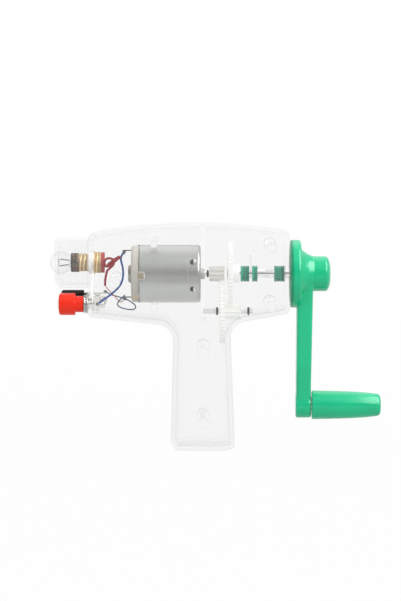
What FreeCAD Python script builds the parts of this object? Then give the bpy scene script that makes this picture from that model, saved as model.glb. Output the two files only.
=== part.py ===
import FreeCAD, Part
import math
import os
import Sketcher
from FreeCAD import Vector

# A hand crank generator: a clear pistol shaped case in two halves, a crank that drives a small
# motor through two gear stages, a screw lamp in a hood at the front and two terminal posts.
# Frame: +X runs from the lamp to the crank, +Z is up, the origin is the middle of the grip's base.

doc = FreeCAD.newDocument("HandCrankGenerator")
sheet = doc.addObject("Spreadsheet::Sheet", "sizes")

SIZES = (
    # the clear case
    ("case_width", 36.0, "both halves together, along Y"),
    ("wall", 2.0, "wall of the clear mouldings"),
    ("case_round", 7.0, "rounding of the long outer edges"),
    ("end_round", 2.4, "rounding of the end faces and the base"),
    ("neck_round", 8.0, "round between barrel and grip"),
    ("front_x", -54.7, "front face of the barrel"),
    ("back_x", 41.2, "back face of the barrel"),
    ("crown_x", -2.0, "highest point of the top arc"),
    ("crown_z", 107.3, "height of the crown"),
    ("front_top_z", 102.5, "top of the barrel at the front"),
    ("back_top_z", 103.7, "top of the barrel at the back"),
    ("front_low_z", 63.4, "bottom of the barrel at the front"),
    ("back_low_z", 65.0, "bottom of the barrel at the back"),
    ("neck_front_z", 59.0, "where the underside meets the grip, front"),
    ("neck_back_z", 60.2, "where the underside meets the grip, back"),
    ("grip_top_front_x", -14.2, "grip front at the neck"),
    ("grip_top_back_x", 13.0, "grip back at the neck"),
    ("grip_base_front_x", -15.6, "grip front at the base"),
    ("grip_base_back_x", 15.4, "grip back at the base"),
    ("toe_run", 2.4, "chamfer under the front of the grip, along X"),
    ("toe_rise", 4.8, "chamfer under the front of the grip, along Z"),
    # fits
    ("run_gap", 0.05, "radial clearance of a turning shaft"),
    ("seat_gap", 0.02, "clearance between pieces fixed together"),
    ("end_float", 0.2, "side clearance of a turning piece"),
    # inside the case
    ("axis_z", 83.3, "height of the motor and crank axis"),
    ("bulkhead_x", -1.1, "motor side of the bulkhead"),
    ("bulkhead_thick", 2.3, "bulkhead in front of the motor"),
    ("rib_x", 22.3, "gear side of the bearing rib"),
    ("rib_thick", 1.0, "thickness of the bearing rib"),
    ("rib_top", 9.0, "bearing rib above the crank axis"),
    ("peg_r", 1.5, "pin that joins the case halves"),
    ("peg_boss_r", 2.3, "boss round a pin"),
    ("peg_grip", 5.0, "length of a pin inside its boss"),
    ("back_peg_x", 32.3, "pins at the back of the barrel"),
    ("back_peg_high_z", 97.0, "upper pin at the back"),
    ("back_peg_low_z", 68.9, "lower pin at the back"),
    ("grip_peg_high_z", 47.5, "upper pin in the grip"),
    ("grip_peg_low_z", 13.4, "lower pin in the grip"),
    ("front_peg_x", -42.0, "pin behind the lamp holder"),
    ("front_peg_z", 80.4, "height of the pin behind the lamp holder"),
    ("stud_x", -23.2, "cradle studs beside the motor"),
    ("stud_rise", 14.4, "cradle studs above and below the axis"),
    ("stud_r", 1.9, "radius of a cradle stud"),
    # the motor
    ("can_r", 13.85, "radius of the motor can"),
    ("can_length", 29.5, "length of the steel can"),
    ("can_wall", 0.8, "thickness of the can"),
    ("can_round", 1.4, "round at the closed end of the can"),
    ("cap_length", 3.6, "plastic end cap behind the can"),
    ("cap_lip", 1.6, "how far the end cap reaches into the can"),
    ("notch_length", 3.2, "notch in the can's open edge"),
    ("notch_width", 4.2, "width of that notch"),
    ("vent_r", 1.2, "vent holes near the closed end"),
    ("vent_back", 3.9, "vents behind the closed end"),
    ("vent_rise", 6.4, "vents above and below the axis"),
    ("nose_r", 2.6, "front bearing housing"),
    ("nose_length", 1.9, "front bearing housing, length"),
    ("tail_r", 4.4, "rear bearing housing"),
    ("tail_length", 1.6, "rear bearing housing, length"),
    ("tab_rise", 11.2, "terminal tabs above and below the axis"),
    ("tab_width", 2.4, "width of a terminal tab"),
    ("tab_thick", 0.4, "thickness of a terminal tab"),
    ("tab_length", 4.2, "terminal tab outside the end cap"),
    ("magnet_thick", 3.0, "field magnets"),
    ("magnet_length", 19.0, "length of the magnets"),
    ("magnet_setback", 3.0, "from the can's floor to the magnets"),
    ("magnet_half_angle", 62.0, "half the arc of a magnet"),
    ("air_gap", 0.5, "between magnets and armature"),
    ("armature_length", 15.0, "laminated core"),
    ("slot_width", 2.6, "winding slot of the core"),
    ("slot_depth", 4.6, "depth of a winding slot"),
    ("commutator_r", 3.2, "commutator radius"),
    ("commutator_length", 4.5, "commutator length"),
    ("shaft_r", 1.0, "motor shaft"),
    # gears
    ("gear_module", 0.6, "module of both stages"),
    ("pinion_teeth", 10.0, "teeth of each pinion"),
    ("wheel_teeth", 50.0, "teeth of each wheel"),
    ("profile_shift", 0.4, "long addendum of the pinions, modules"),
    ("backlash", 0.10, "play between meshing teeth"),
    ("motor_pinion_x", 3.0, "near face of the motor pinion"),
    ("motor_pinion_length", 7.2, "length of the motor pinion"),
    ("first_wheel_x", 7.8, "near face of the first wheel"),
    ("first_wheel_thick", 2.6, "face width of the first wheel"),
    ("second_pinion_length", 7.6, "length of the pinion beside it"),
    ("gear_room", 0.45, "round the small pinion in the floor"),
    ("second_wheel_x", 12.0, "near face of the crank wheel"),
    ("second_wheel_thick", 2.2, "face width of the crank wheel"),
    ("wheel_web", 1.2, "web inside a wheel's rim"),
    ("wheel_rim", 1.9, "rim under the teeth"),
    ("wheel_hub_r", 4.2, "hub of a wheel"),
    ("second_hub_length", 5.4, "hub of the crank wheel"),
    ("counter_r", 1.25, "countershaft"),
    # the crank axle
    ("axle_r", 2.0, "steel crank axle"),
    ("collar_r", 3.85, "green collars on the axle"),
    ("inner_collar_length", 4.1, "collar between crank wheel and rib"),
    ("middle_collar_length", 2.6, "collar behind the rib"),
    ("outer_collar_length", 4.9, "collar inside the back wall"),
    ("collar_groove", 0.35, "groove round a collar"),
    # the crank
    ("disc_gap", 0.5, "between the back wall and the crank's disc"),
    ("disc_r", 16.3, "disc of the crank"),
    ("disc_thick", 5.2, "rim of the disc"),
    ("disc_dish", 0.9, "hollow in the disc's inner face"),
    ("flare_r", 12.3, "where the flare leaves the disc"),
    ("flare_length", 5.9, "length of the flare"),
    ("hub_r", 8.4, "hub of the crank"),
    ("hub_length", 6.2, "plain part of the hub"),
    ("hub_dome", 1.9, "domed end of the hub"),
    ("throw", 63.4, "from the crank axis to the handle axis"),
    ("arm_x", 45.0, "inner face of the arm"),
    ("arm_thick_top", 7.7, "thickness of the arm at the hub"),
    ("arm_thick_low", 7.0, "thickness of the arm at the boss"),
    ("arm_width_top", 15.0, "width of the arm at the hub"),
    ("arm_width_low", 11.0, "width of the arm at the boss"),
    ("arm_round", 1.6, "rounding of the arm's long edges"),
    ("boss_r", 6.15, "boss that holds the handle pin"),
    ("boss_length", 7.4, "length of that boss"),
    ("boss_round", 0.8, "round on the boss"),
    # the handle
    ("handle_gap", 0.35, "between boss and handle"),
    ("handle_length", 33.2, "length of the handle"),
    ("handle_r_near", 6.95, "handle radius at the boss"),
    ("handle_r_mid", 6.35, "handle radius past the middle"),
    ("handle_r_far", 5.15, "handle radius at its end"),
    ("handle_taper", 9.5, "length of the tapered end"),
    ("handle_round", 1.0, "round at the handle's ends"),
    ("handle_wall", 4.0, "closed end of the handle"),
    ("pin_r", 2.0, "handle pin"),
    ("pin_seat", 5.6, "length of the pin in the boss"),
    ("bead_r", 2.5, "bead that keeps the handle on its pin"),
    ("bead_length", 1.4, "length of the bead"),
    ("bead_back", 4.0, "bead from the pin's end"),
    # the lamp and its hood
    ("lamp_z", 88.7, "height of the lamp axis"),
    ("hood_length", 15.7, "hood in front of the barrel"),
    ("hood_height", 23.4, "height of the hood"),
    ("hood_width", 25.0, "width of the hood"),
    ("hood_round", 5.0, "rounding of the hood's long edges"),
    ("hood_wall", 1.6, "wall of the hood"),
    ("hood_toe_run", 2.2, "chamfer under the hood's front, along X"),
    ("hood_toe_rise", 4.0, "chamfer under the hood's front, along Z"),
    ("hood_hole_gap", 0.5, "round the bulb in the hood's front"),
    ("bulb_r", 5.4, "glass bulb"),
    ("bulb_x", -68.0, "centre of the bulb"),
    ("glass_wall", 0.5, "wall of the glass"),
    ("bulb_neck_r", 3.6, "neck of the glass inside the base"),
    ("base_front_x", -63.2, "front edge of the lamp base"),
    ("base_flange_r", 4.6, "plain rim of the lamp base"),
    ("base_flange_length", 3.8, "length of the rim"),
    ("thread_crest_r", 4.45, "crest of the lamp thread"),
    ("thread_depth", 0.35, "depth of the lamp thread"),
    ("thread_pitch", 1.81, "pitch of the lamp thread"),
    ("thread_turns", 4.0, "grooves on the lamp base"),
    ("base_wall", 0.3, "sheet of the lamp base"),
    ("glass_button_length", 1.1, "black glass at the end of the base"),
    ("tip_r", 1.6, "solder tip of the lamp"),
    ("tip_length", 0.9, "height of the solder tip"),
    ("tip_taper", 0.7, "how far the solder tip narrows"),
    ("button_rim", 0.5, "black glass left round the tip"),
    ("button_play", 0.1, "black glass inside the base's grooves"),
    ("support_r", 0.25, "wires that hold the filament"),
    ("support_spread", 1.1, "half the distance between those wires"),
    ("support_flare", 1.7, "half the width of the filament"),
    ("support_bend", 2.6, "where the wires spread, behind the bulb's centre"),
    ("filament_lead", 0.6, "filament in front of the bulb's centre"),
    ("filament_r", 0.22, "coiled filament"),
    ("bead_glass_r", 1.0, "glass bead across the wires"),
    ("bead_setback", 4.7, "bead behind the bulb's centre"),
    ("shell_wall", 0.35, "sheet of the lamp holder's shell"),
    ("shell_reach", 0.555, "how far the holder's shell passes the lamp's tip"),
    ("shell_rim", 0.7, "rim of the shell behind the wall"),
    ("washer_thick", 1.5, "red fibre washer of the holder"),
    ("washer_r", 4.9, "radius of the fibre washer"),
    ("contact_r", 1.3, "rivet of the centre contact"),
    ("contact_head", 0.4, "thickness of the rivet's head"),
    ("contact_head_r", 2.1, "radius of the rivet's head"),
    ("strap_width", 4.0, "strap from the shell to the red post"),
    ("strap_thick", 0.4, "thickness of that strap"),
    # the terminal posts
    ("post_z", 69.5, "height of the post axes"),
    ("post_pitch", 19.0, "distance between the posts"),
    ("post_r", 3.0, "stud in front of the case"),
    ("socket_r", 2.0, "socket for a 4 mm plug"),
    ("socket_depth", 11.0, "depth of that socket"),
    ("post_front_x", -69.0, "front end of the stud"),
    ("post_tail_r", 1.75, "stud through the wall"),
    ("post_tail_length", 8.2, "stud behind the wall's front face"),
    ("cross_hole_r", 0.9, "wire hole across the stud"),
    ("cross_hole_back", 1.4, "that hole in front of the knob's back"),
    ("stud_chamfer", 0.4, "chamfer at the stud's front"),
    ("knob_front_x", -68.5, "front of the knob when closed"),
    ("knob_r", 5.25, "wide part of the knob"),
    ("knob_length", 7.3, "length of the wide part"),
    ("knob_neck_r", 3.85, "narrow part of the knob"),
    ("knob_chamfer", 0.9, "chamfer at the knob's front"),
    ("knob_round", 0.3, "round behind the knob's wide part"),
    ("collar_length", 2.6, "metal collar against the wall"),
    ("post_collar_r", 4.4, "radius of the metal collar"),
    ("insert_r", 3.6, "threaded insert in the knob"),
    ("insert_back", 3.2, "insert behind the knob's front"),
    ("insert_length", 6.0, "length of the insert"),
    ("nut_r", 3.6, "nut across its corners, half"),
    ("nut_thick", 2.4, "thickness of the nut"),
    ("tag_thick", 0.5, "solder tag under the nut"),
    ("tag_r", 3.4, "ring of the solder tag"),
    ("tag_reach", 6.0, "length of the tag's tail"),
    ("tag_tail_width", 2.2, "width of the tag's tail"),
    ("tag_lift", 0.6, "tail above the tag's ring"),
    # the wires
    ("wire_r", 0.6, "radius of the insulated wires"),
    ("red_wire_r", 0.65, "radius of the red wire"),
    ("solder_gap", 0.03, "between a wire and what it is soldered to"),
)

for row, (alias, number, note) in enumerate(SIZES, start=1):
    sheet.set("A%d" % row, alias)
    sheet.set("B%d" % row, str(number))
    sheet.set("C%d" % row, note)
    sheet.setAlias("B%d" % row, alias)
doc.recompute()


class Sizes:
    """Reads the sheet's cells by their aliases."""

    def __getattr__(self, alias):
        return float(sheet.get(alias))


size = Sizes()
parts = []


def value(expression):
    """Number that a sheet expression gives, with the words in it being aliases."""
    return float(sheet.evalExpression(bound(expression)))


def bound(expression):
    """Puts the sheet's name before every alias in an expression."""
    words = []
    word = ""
    for letter in str(expression) + " ":
        if letter.isalnum() or letter == "_" or (letter == "." and word):
            word += letter
            continue
        words.append("sizes." + word if word in ALIASES else word)
        words.append(letter)
        word = ""
    return "".join(words).strip()


ALIASES = {alias for alias, number, note in SIZES}


# ---------------------------------------------------------------- helpers


def new_body(label, height="0", side="0"):
    """Body on an axis along X at the given height and sideways place."""
    body = doc.addObject("PartDesign::Body", "Body_" + label)
    body.Label = label
    body.setExpression(".Placement.Base.y", bound(side))
    body.setExpression(".Placement.Base.z", bound(height))
    parts.append(body)
    return body


def new_sketch(body, role):
    """Sketch on one of the body's own origin planes."""
    sketch = body.newObject("Sketcher::SketchObject", "Sketch_" + body.Label)
    plane = [item for item in body.Origin.OriginFeatures if item.Role == role][0]
    sketch.AttachmentSupport = [(plane, "")]
    sketch.MapMode = "FlatFace"
    return sketch


def draw_outline(sketch, corners):
    """Closed outline with each corner's place bound to the sheet."""
    points = [Vector(value(across), value(up), 0) for across, up in corners]
    first = sketch.GeometryCount
    count = len(points)
    for index in range(count):
        sketch.addGeometry(Part.LineSegment(points[index], points[(index + 1) % count]))
    for index in range(count):
        following = first + (index + 1) % count
        sketch.addConstraint(Sketcher.Constraint("Coincident", first + index, 2, following, 1))
    for index, (across, up) in enumerate(corners):
        corner = first + index
        number = sketch.addConstraint(
            Sketcher.Constraint("DistanceX", -1, 1, corner, 1, points[index].x)
        )
        sketch.setExpression("Constraints[%d]" % number, bound(across))
        number = sketch.addConstraint(
            Sketcher.Constraint("DistanceY", -1, 1, corner, 1, points[index].y)
        )
        sketch.setExpression("Constraints[%d]" % number, bound(up))


def turned(label, corners, height="axis_z", side="0"):
    """Piece turned about an axis along X. Corners are (along X, radius)."""
    body = new_body(label, height, side)
    sketch = new_sketch(body, "XZ_Plane")
    draw_outline(sketch, corners)
    revolution = body.newObject("PartDesign::Revolution", "Revolution_" + label)
    revolution.Profile = sketch
    revolution.ReferenceAxis = (sketch, ["H_Axis"])
    revolution.Angle = 360
    doc.recompute()
    return body


def soften(body, radius, wanted):
    """Rounds the circular edges whose (x, radius) is near one of the wanted pairs."""
    places = [(value(along), value(across)) for along, across in wanted]
    names = []
    sharp = body.Tip
    for number, edge in enumerate(sharp.Shape.Edges, start=1):
        if not isinstance(edge.Curve, Part.Circle):
            continue
        for along, across in places:
            near = abs(edge.Curve.Center.x - along) < 0.001
            if near and abs(edge.Curve.Radius - across) < 0.001:
                names.append("Edge%d" % number)
    fillet = body.newObject("PartDesign::Fillet", "Fillet_" + body.Label)
    fillet.Base = (sharp, names)
    fillet.setExpression("Radius", bound(radius))
    doc.recompute()
    return body


def tube_corners(start, end, outer, inner):
    """Corners of a plain ring."""
    return [(start, inner), (start, outer), (end, outer), (end, inner)]


def rod_corners(start, end, outer):
    """Corners of a plain rod."""
    return tube_corners(start, end, outer, "0")


def shaped(label, shape):
    """Sub-part whose shape is worked out by a function, in the object's frame."""
    feature = doc.addObject("Part::Feature", "Feature_" + label)
    feature.Label = label
    feature.Shape = shape
    feature.Placement = FreeCAD.Placement()
    parts.append(feature)
    return feature


def cylinder_x(start, end, radius, side, height):
    """Rod along X."""
    return Part.makeCylinder(radius, end - start, Vector(start, side, height), Vector(1, 0, 0))


def cylinder_y(along, height, start, end, radius):
    """Rod along Y."""
    return Part.makeCylinder(radius, end - start, Vector(along, start, height), Vector(0, 1, 0))


def block(x_low, x_high, y_low, y_high, z_low, z_high):
    """Box between two corners."""
    return Part.makeBox(x_high - x_low, y_high - y_low, z_high - z_low, Vector(x_low, y_low, z_low))


def clean_solid(shape):
    """The one solid of a boolean's result, with its split faces joined."""
    return shape.removeSplitter().Solids[0]


# ---------------------------------------------------------------- the clear case


def case_outline():
    """Side view of the case, in the XZ plane, with the neck already rounded."""
    front_top = Vector(size.front_x, 0, size.front_top_z)
    crown = Vector(size.crown_x, 0, size.crown_z)
    back_top = Vector(size.back_x, 0, size.back_top_z)
    back_low = Vector(size.back_x, 0, size.back_low_z)
    neck_back = Vector(size.grip_top_back_x, 0, size.neck_back_z)
    base_back = Vector(size.grip_base_back_x, 0, 0)
    base_front = Vector(size.grip_base_front_x, 0, 0)
    neck_front = Vector(size.grip_top_front_x, 0, size.neck_front_z)
    front_low = Vector(size.front_x, 0, size.front_low_z)
    back_bend = round_corner(back_low, neck_back, base_back, size.neck_round)
    front_bend = round_corner(base_front, neck_front, front_low, size.neck_round)
    edges = [
        Part.Arc(front_top, crown, back_top).toShape(),
        Part.LineSegment(back_top, back_low).toShape(),
        Part.LineSegment(back_low, back_bend[0]).toShape(),
        Part.Arc(*back_bend).toShape(),
        Part.LineSegment(back_bend[2], base_back).toShape(),
        Part.LineSegment(base_back, base_front).toShape(),
        Part.LineSegment(base_front, front_bend[0]).toShape(),
        Part.Arc(*front_bend).toShape(),
        Part.LineSegment(front_bend[2], front_low).toShape(),
        Part.LineSegment(front_low, front_top).toShape(),
    ]
    return Part.Wire(edges)


def round_corner(before, corner, after, radius):
    """Start, middle and end of the arc that rounds a corner."""
    to_before = (before - corner).normalize()
    to_after = (after - corner).normalize()
    half_angle = to_before.getAngle(to_after) / 2
    reach = radius / math.tan(half_angle)
    to_centre = (to_before + to_after).normalize()
    centre_distance = radius / math.sin(half_angle)
    middle = corner + to_centre * (centre_distance - radius)
    return corner + to_before * reach, middle, corner + to_after * reach


def case_block(inset):
    """The case as one solid, moved inwards by inset on every side."""
    face = Part.Face(case_outline())
    if inset:
        face = face.makeOffset2D(-inset, join=2)
    half = size.case_width / 2 - inset
    face.translate(Vector(0, -half, 0))
    solid = face.extrude(Vector(0, 2 * half, 0))
    floor = inset
    long_edges = []
    for edge in solid.Edges:
        box = edge.BoundBox
        flat_side = box.YLength < 0.001
        upright_end = box.XLength < 0.001
        base_edge = box.ZMax < floor + 0.001
        if flat_side and not upright_end and not base_edge:
            long_edges.append(edge)
    solid = solid.makeFillet(size.case_round - inset, long_edges)
    end_edges = []
    for edge in solid.Edges:
        box = edge.BoundBox
        at_front = box.XMax < size.front_x + inset + 0.001
        at_back = box.XMin > size.back_x - inset - 0.001
        at_base = box.ZMax < floor + 0.001
        if at_front or at_back or at_base:
            end_edges.append(edge)
    solid = solid.makeFillet(max(size.end_round - inset, 0.4), end_edges)
    return solid.cut(toe_wedge(inset))


def toe_wedge(inset):
    """Corner cut away under the front of the grip."""
    reach = 20.0
    slope = Vector(-size.toe_run, 0, size.toe_rise).normalize()
    outwards = Vector(-slope.z, 0, slope.x)
    on_cut = Vector(size.grip_base_front_x + size.toe_run, 0, 0) - outwards * inset
    corners = [
        on_cut - slope * reach,
        on_cut + slope * reach,
        on_cut + slope * reach + outwards * reach,
        on_cut - slope * reach + outwards * reach,
    ]
    face = Part.Face(Part.makePolygon(corners + corners[:1]))
    face.translate(Vector(0, -size.case_width, 0))
    return face.extrude(Vector(0, 2 * size.case_width, 0))


def countershaft_z():
    """Height of the countershaft, one centre distance under the crank axis."""
    return size.axis_z - size.gear_module * (size.pinion_teeth + size.wheel_teeth) / 2


def post_sides():
    """Sideways places of the red and the black post."""
    return -size.post_pitch / 2, size.post_pitch / 2


def peg_places():
    """Where the halves are pinned together, as (x, z)."""
    return (
        (size.back_peg_x, size.back_peg_high_z),
        (size.back_peg_x, size.back_peg_low_z),
        (0.0, size.grip_peg_high_z),
        (0.0, size.grip_peg_low_z),
        (size.front_peg_x, size.front_peg_z),
    )


def case_half(side, outer, inner):
    """One half of the case with its bulkhead, rib, studs and bosses. Side is -1 or 1."""
    half = size.case_width / 2
    tall = size.crown_z + size.wall
    keep = block(size.front_x - 1, size.back_x + 1, min(0, side * half * 2), max(0, side * half * 2),
                 -1, tall)
    hollow = inner.common(keep)
    bulkhead_end = size.bulkhead_x + size.bulkhead_thick
    low = size.neck_front_z + size.wall
    bulkhead = block(size.bulkhead_x, bulkhead_end, -half, half, low, tall).common(hollow)
    rib_end = size.rib_x + size.rib_thick
    rib_box = block(size.rib_x, rib_end, -half, half, low, size.axis_z)
    rib_round = cylinder_x(size.rib_x, rib_end, size.rib_top, 0, size.axis_z)
    rib = rib_box.fuse(rib_round).common(hollow)
    solid = outer.cut(inner).common(keep).fuse([bulkhead, rib])
    inner_side = half - size.wall
    extras = []
    for x, z in peg_places():
        reach = sorted((side * (inner_side + size.wall / 2), side * size.seat_gap))
        extras.append(cylinder_y(x, z, reach[0], reach[1], size.peg_boss_r))
    stud_end = size.can_r * 0.45
    for z in (size.axis_z - size.stud_rise, size.axis_z + size.stud_rise):
        reach = sorted((side * (inner_side + size.wall / 2), side * stud_end))
        extras.append(cylinder_y(size.stud_x, z, reach[0], reach[1], size.stud_r))
    solid = solid.fuse(extras)
    cuts = [
        cylinder_x(size.bulkhead_x - 1, size.bulkhead_x + size.nose_length + size.seat_gap,
                   size.nose_r + size.seat_gap, 0, size.axis_z),
        cylinder_x(size.bulkhead_x - 1, bulkhead_end + 1, size.shaft_r + size.end_float,
                   0, size.axis_z),
        cylinder_x(size.bulkhead_x + 1, bulkhead_end + 1, size.counter_r + size.run_gap,
                   0, countershaft_z()),
        cylinder_x(size.rib_x - 1, rib_end + 1, size.counter_r + size.run_gap,
                   0, countershaft_z()),
        cylinder_x(size.rib_x - 1, size.back_x + 1, size.axle_r + size.run_gap, 0, size.axis_z),
        cylinder_x(size.front_x - 1, size.front_x + size.wall + 1, shell_outer_r() + size.seat_gap,
                   0, size.lamp_z),
        cylinder_x(size.stud_x - size.stud_r - 1, size.stud_x + size.stud_r + 1,
                   size.can_r + size.seat_gap, 0, size.axis_z),
    ]
    tip_r = size.gear_module * (size.pinion_teeth / 2 + 1 + size.profile_shift)
    pinion_x = size.first_wheel_x + size.first_wheel_thick
    cuts.append(cylinder_x(pinion_x - size.gear_room,
                           pinion_x + size.second_pinion_length + size.gear_room,
                           tip_r + size.gear_room, 0, countershaft_z()))
    for post_side in post_sides():
        cuts.append(cylinder_x(size.front_x - 1, size.front_x + size.wall + 1,
                               size.post_tail_r + size.seat_gap, post_side, size.post_z))
    solid = solid.cut(cuts)
    for x, z in peg_places():
        if side < 0:
            peg = cylinder_y(x, z, -size.wall, size.peg_grip, size.peg_r)
            solid = solid.fuse(peg)
        else:
            hole_r = size.peg_r + size.seat_gap
            solid = solid.cut(cylinder_y(x, z, -1, size.peg_grip + size.end_float, hole_r))
    return clean_solid(solid)


def shell_outer_r():
    """Outer radius of the lamp holder's shell."""
    return size.base_flange_r + size.seat_gap + size.shell_wall


def rounded_bar(x_low, x_high, width, height, middle_z, radius):
    """Bar along X with rounded long edges."""
    bar = block(x_low, x_high, -width / 2, width / 2, middle_z - height / 2, middle_z + height / 2)
    along = [edge for edge in bar.Edges if edge.BoundBox.XLength > 0.001]
    return bar.makeFillet(radius, along)


def lamp_hood():
    """Clear hood round the lamp, open at the back and holed at the front."""
    front = size.front_x - size.hood_length
    outer = rounded_bar(front, size.front_x - size.seat_gap, size.hood_width, size.hood_height,
                        size.lamp_z, size.hood_round)
    front_edges = [edge for edge in outer.Edges if edge.BoundBox.XMax < front + 0.001]
    outer = outer.makeFillet(1.0, front_edges)
    outer = outer.cut(hood_wedge(0))
    inner = rounded_bar(front + size.hood_wall, size.front_x + 1,
                        size.hood_width - 2 * size.hood_wall,
                        size.hood_height - 2 * size.hood_wall, size.lamp_z,
                        size.hood_round - size.hood_wall)
    inner = inner.cut(hood_wedge(size.hood_wall))
    hole = cylinder_x(front - 1, front + size.hood_wall + 1, size.bulb_r + size.hood_hole_gap,
                      0, size.lamp_z)
    return clean_solid(outer.cut([inner, hole]))


def hood_wedge(inset):
    """Corner cut away under the front of the hood."""
    reach = 14.0
    front = size.front_x - size.hood_length
    low = size.lamp_z - size.hood_height / 2
    slope = Vector(-size.hood_toe_run, 0, size.hood_toe_rise).normalize()
    outwards = Vector(-slope.z, 0, slope.x)
    on_cut = Vector(front + size.hood_toe_run, 0, low) - outwards * inset
    corners = [
        on_cut - slope * reach,
        on_cut + slope * reach,
        on_cut + slope * reach + outwards * reach,
        on_cut - slope * reach + outwards * reach,
    ]
    face = Part.Face(Part.makePolygon(corners + corners[:1]))
    face.translate(Vector(0, -size.hood_width, 0))
    return face.extrude(Vector(0, 2 * size.hood_width, 0))


case_outer = case_block(0)
case_inner = case_block(size.wall)
shaped("case_front", case_half(-1, case_outer, case_inner))
shaped("case_back", case_half(1, case_outer, case_inner))
shaped("lamp_hood", lamp_hood())


# ---------------------------------------------------------------- the motor

CAN_FRONT = "bulkhead_x - seat_gap"
CAN_REAR = "bulkhead_x - seat_gap - can_length"
CAP_REAR = "bulkhead_x - seat_gap - can_length - cap_length"
CAN_BORE = "can_r - can_wall"
CAN_FLOOR = "bulkhead_x - seat_gap - can_wall"


def cut_body(body, tool, name):
    """Takes an extra sketch-free tool from a finished body, as a part of its own."""
    feature = shaped(name, clean_solid(body.Shape.cut(tool)))
    parts.remove(body)
    return feature


can_blank = turned("can_blank", [
    (CAN_REAR, CAN_BORE),
    (CAN_REAR, "can_r"),
    (CAN_FRONT, "can_r"),
    (CAN_FRONT, "nose_r"),
    (CAN_FLOOR, "nose_r"),
    (CAN_FLOOR, CAN_BORE),
])
soften(can_blank, "can_round", [(CAN_FRONT, "can_r")])
can_tools = []
vent_x = value(CAN_FRONT) - size.vent_back
for vent_z in (size.axis_z - size.vent_rise, size.axis_z + size.vent_rise):
    can_tools.append(cylinder_y(vent_x, vent_z, -size.case_width / 2, size.case_width / 2,
                                size.vent_r))
can_tools.append(block(value(CAN_REAR) - 1, value(CAN_REAR) + size.notch_length,
                       -size.case_width / 2, 0,
                       size.axis_z - size.notch_width / 2, size.axis_z + size.notch_width / 2))
cut_body(can_blank, can_tools, "motor_can")

cap_blank = turned("end_cap_blank", [
    (CAP_REAR, "tail_r + seat_gap"),
    (CAP_REAR, "can_r - 1.2"),
    (CAP_REAR + " + 0.8", "can_r - 0.3"),
    (CAN_REAR + " - seat_gap", "can_r - 0.3"),
    (CAN_REAR + " - seat_gap", CAN_BORE + " - seat_gap"),
    (CAN_REAR + " + cap_lip", CAN_BORE + " - seat_gap"),
    (CAN_REAR + " + cap_lip", "tail_r + seat_gap"),
])


def end_cap():
    """End cap with slots for the terminal tabs and a tongue in the can's notch."""
    rear = value(CAN_REAR)
    solid = cap_blank.Shape
    tongue = block(rear - 1, rear + size.notch_length - 0.1, -size.can_r + 0.15,
                   -size.can_r + size.can_wall + 1.2,
                   size.axis_z - size.notch_width / 2 + 0.1,
                   size.axis_z + size.notch_width / 2 - 0.1)
    solid = solid.fuse(tongue)
    slots = []
    for z in tab_heights():
        slots.append(block(value(CAP_REAR) - 1, rear + size.cap_lip + 1,
                           -size.tab_width / 2 - size.seat_gap, size.tab_width / 2 + size.seat_gap,
                           z - size.tab_thick / 2 - size.seat_gap,
                           z + size.tab_thick / 2 + size.seat_gap))
    return clean_solid(solid.cut(slots))


def tab_heights():
    """Heights of the upper and the lower terminal tab."""
    return size.axis_z + size.tab_rise, size.axis_z - size.tab_rise


parts.remove(cap_blank)
shaped("motor_end_cap", end_cap())

turned("motor_front_bearing", tube_corners(
    CAN_FLOOR, "bulkhead_x + nose_length", "nose_r - seat_gap", "shaft_r + run_gap"))
turned("motor_rear_bearing", [
    (CAP_REAR + " - tail_length", "0"),
    (CAP_REAR + " - tail_length", "tail_r - 0.6"),
    (CAP_REAR + " - tail_length + 0.6", "tail_r"),
    (CAN_REAR + " + cap_lip", "tail_r"),
    (CAN_REAR + " + cap_lip", "shaft_r + run_gap"),
    (CAP_REAR, "shaft_r + run_gap"),
    (CAP_REAR, "0"),
])


def terminal(height):
    """Flat tab through the end cap."""
    return block(value(CAP_REAR) - size.tab_length, value(CAN_REAR) + size.cap_lip,
                 -size.tab_width / 2, size.tab_width / 2,
                 height - size.tab_thick / 2, height + size.tab_thick / 2)


shaped("motor_terminal_top", terminal(tab_heights()[0]))
shaped("motor_terminal_bottom", terminal(tab_heights()[1]))

MAGNET_START = CAN_FLOOR + " - magnet_setback - magnet_length"


def magnet_pair():
    """Two curved field magnets against the can's bore."""
    outer_r = value(CAN_BORE) - size.seat_gap
    inner_r = outer_r - size.magnet_thick
    start = value(MAGNET_START)
    pair = []
    for turn in (0, 180):
        face_edges = []
        corners = []
        for radius, angle in ((outer_r, -1), (outer_r, 1), (inner_r, 1), (inner_r, -1)):
            corners.append(polar(start, radius, angle * size.magnet_half_angle + turn))
        face_edges.append(Part.Arc(corners[0], polar(start, outer_r, turn), corners[1]).toShape())
        face_edges.append(Part.LineSegment(corners[1], corners[2]).toShape())
        face_edges.append(Part.Arc(corners[2], polar(start, inner_r, turn), corners[3]).toShape())
        face_edges.append(Part.LineSegment(corners[3], corners[0]).toShape())
        pair.append(Part.Face(Part.Wire(face_edges)).extrude(Vector(size.magnet_length, 0, 0)))
    return Part.makeCompound(pair)


def polar(along, radius, degrees):
    """Point round the motor axis, with 0 degrees towards +Y."""
    angle = math.radians(degrees)
    return Vector(along, radius * math.cos(angle), size.axis_z + radius * math.sin(angle))


shaped("motor_magnets", magnet_pair())

turned("motor_shaft", rod_corners(
    CAP_REAR + " + end_float", "motor_pinion_x + motor_pinion_length", "shaft_r"))

ARMATURE_R = "can_r - can_wall - seat_gap - magnet_thick - air_gap"
ARMATURE_START = MAGNET_START + " + (magnet_length - armature_length) / 2"


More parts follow.
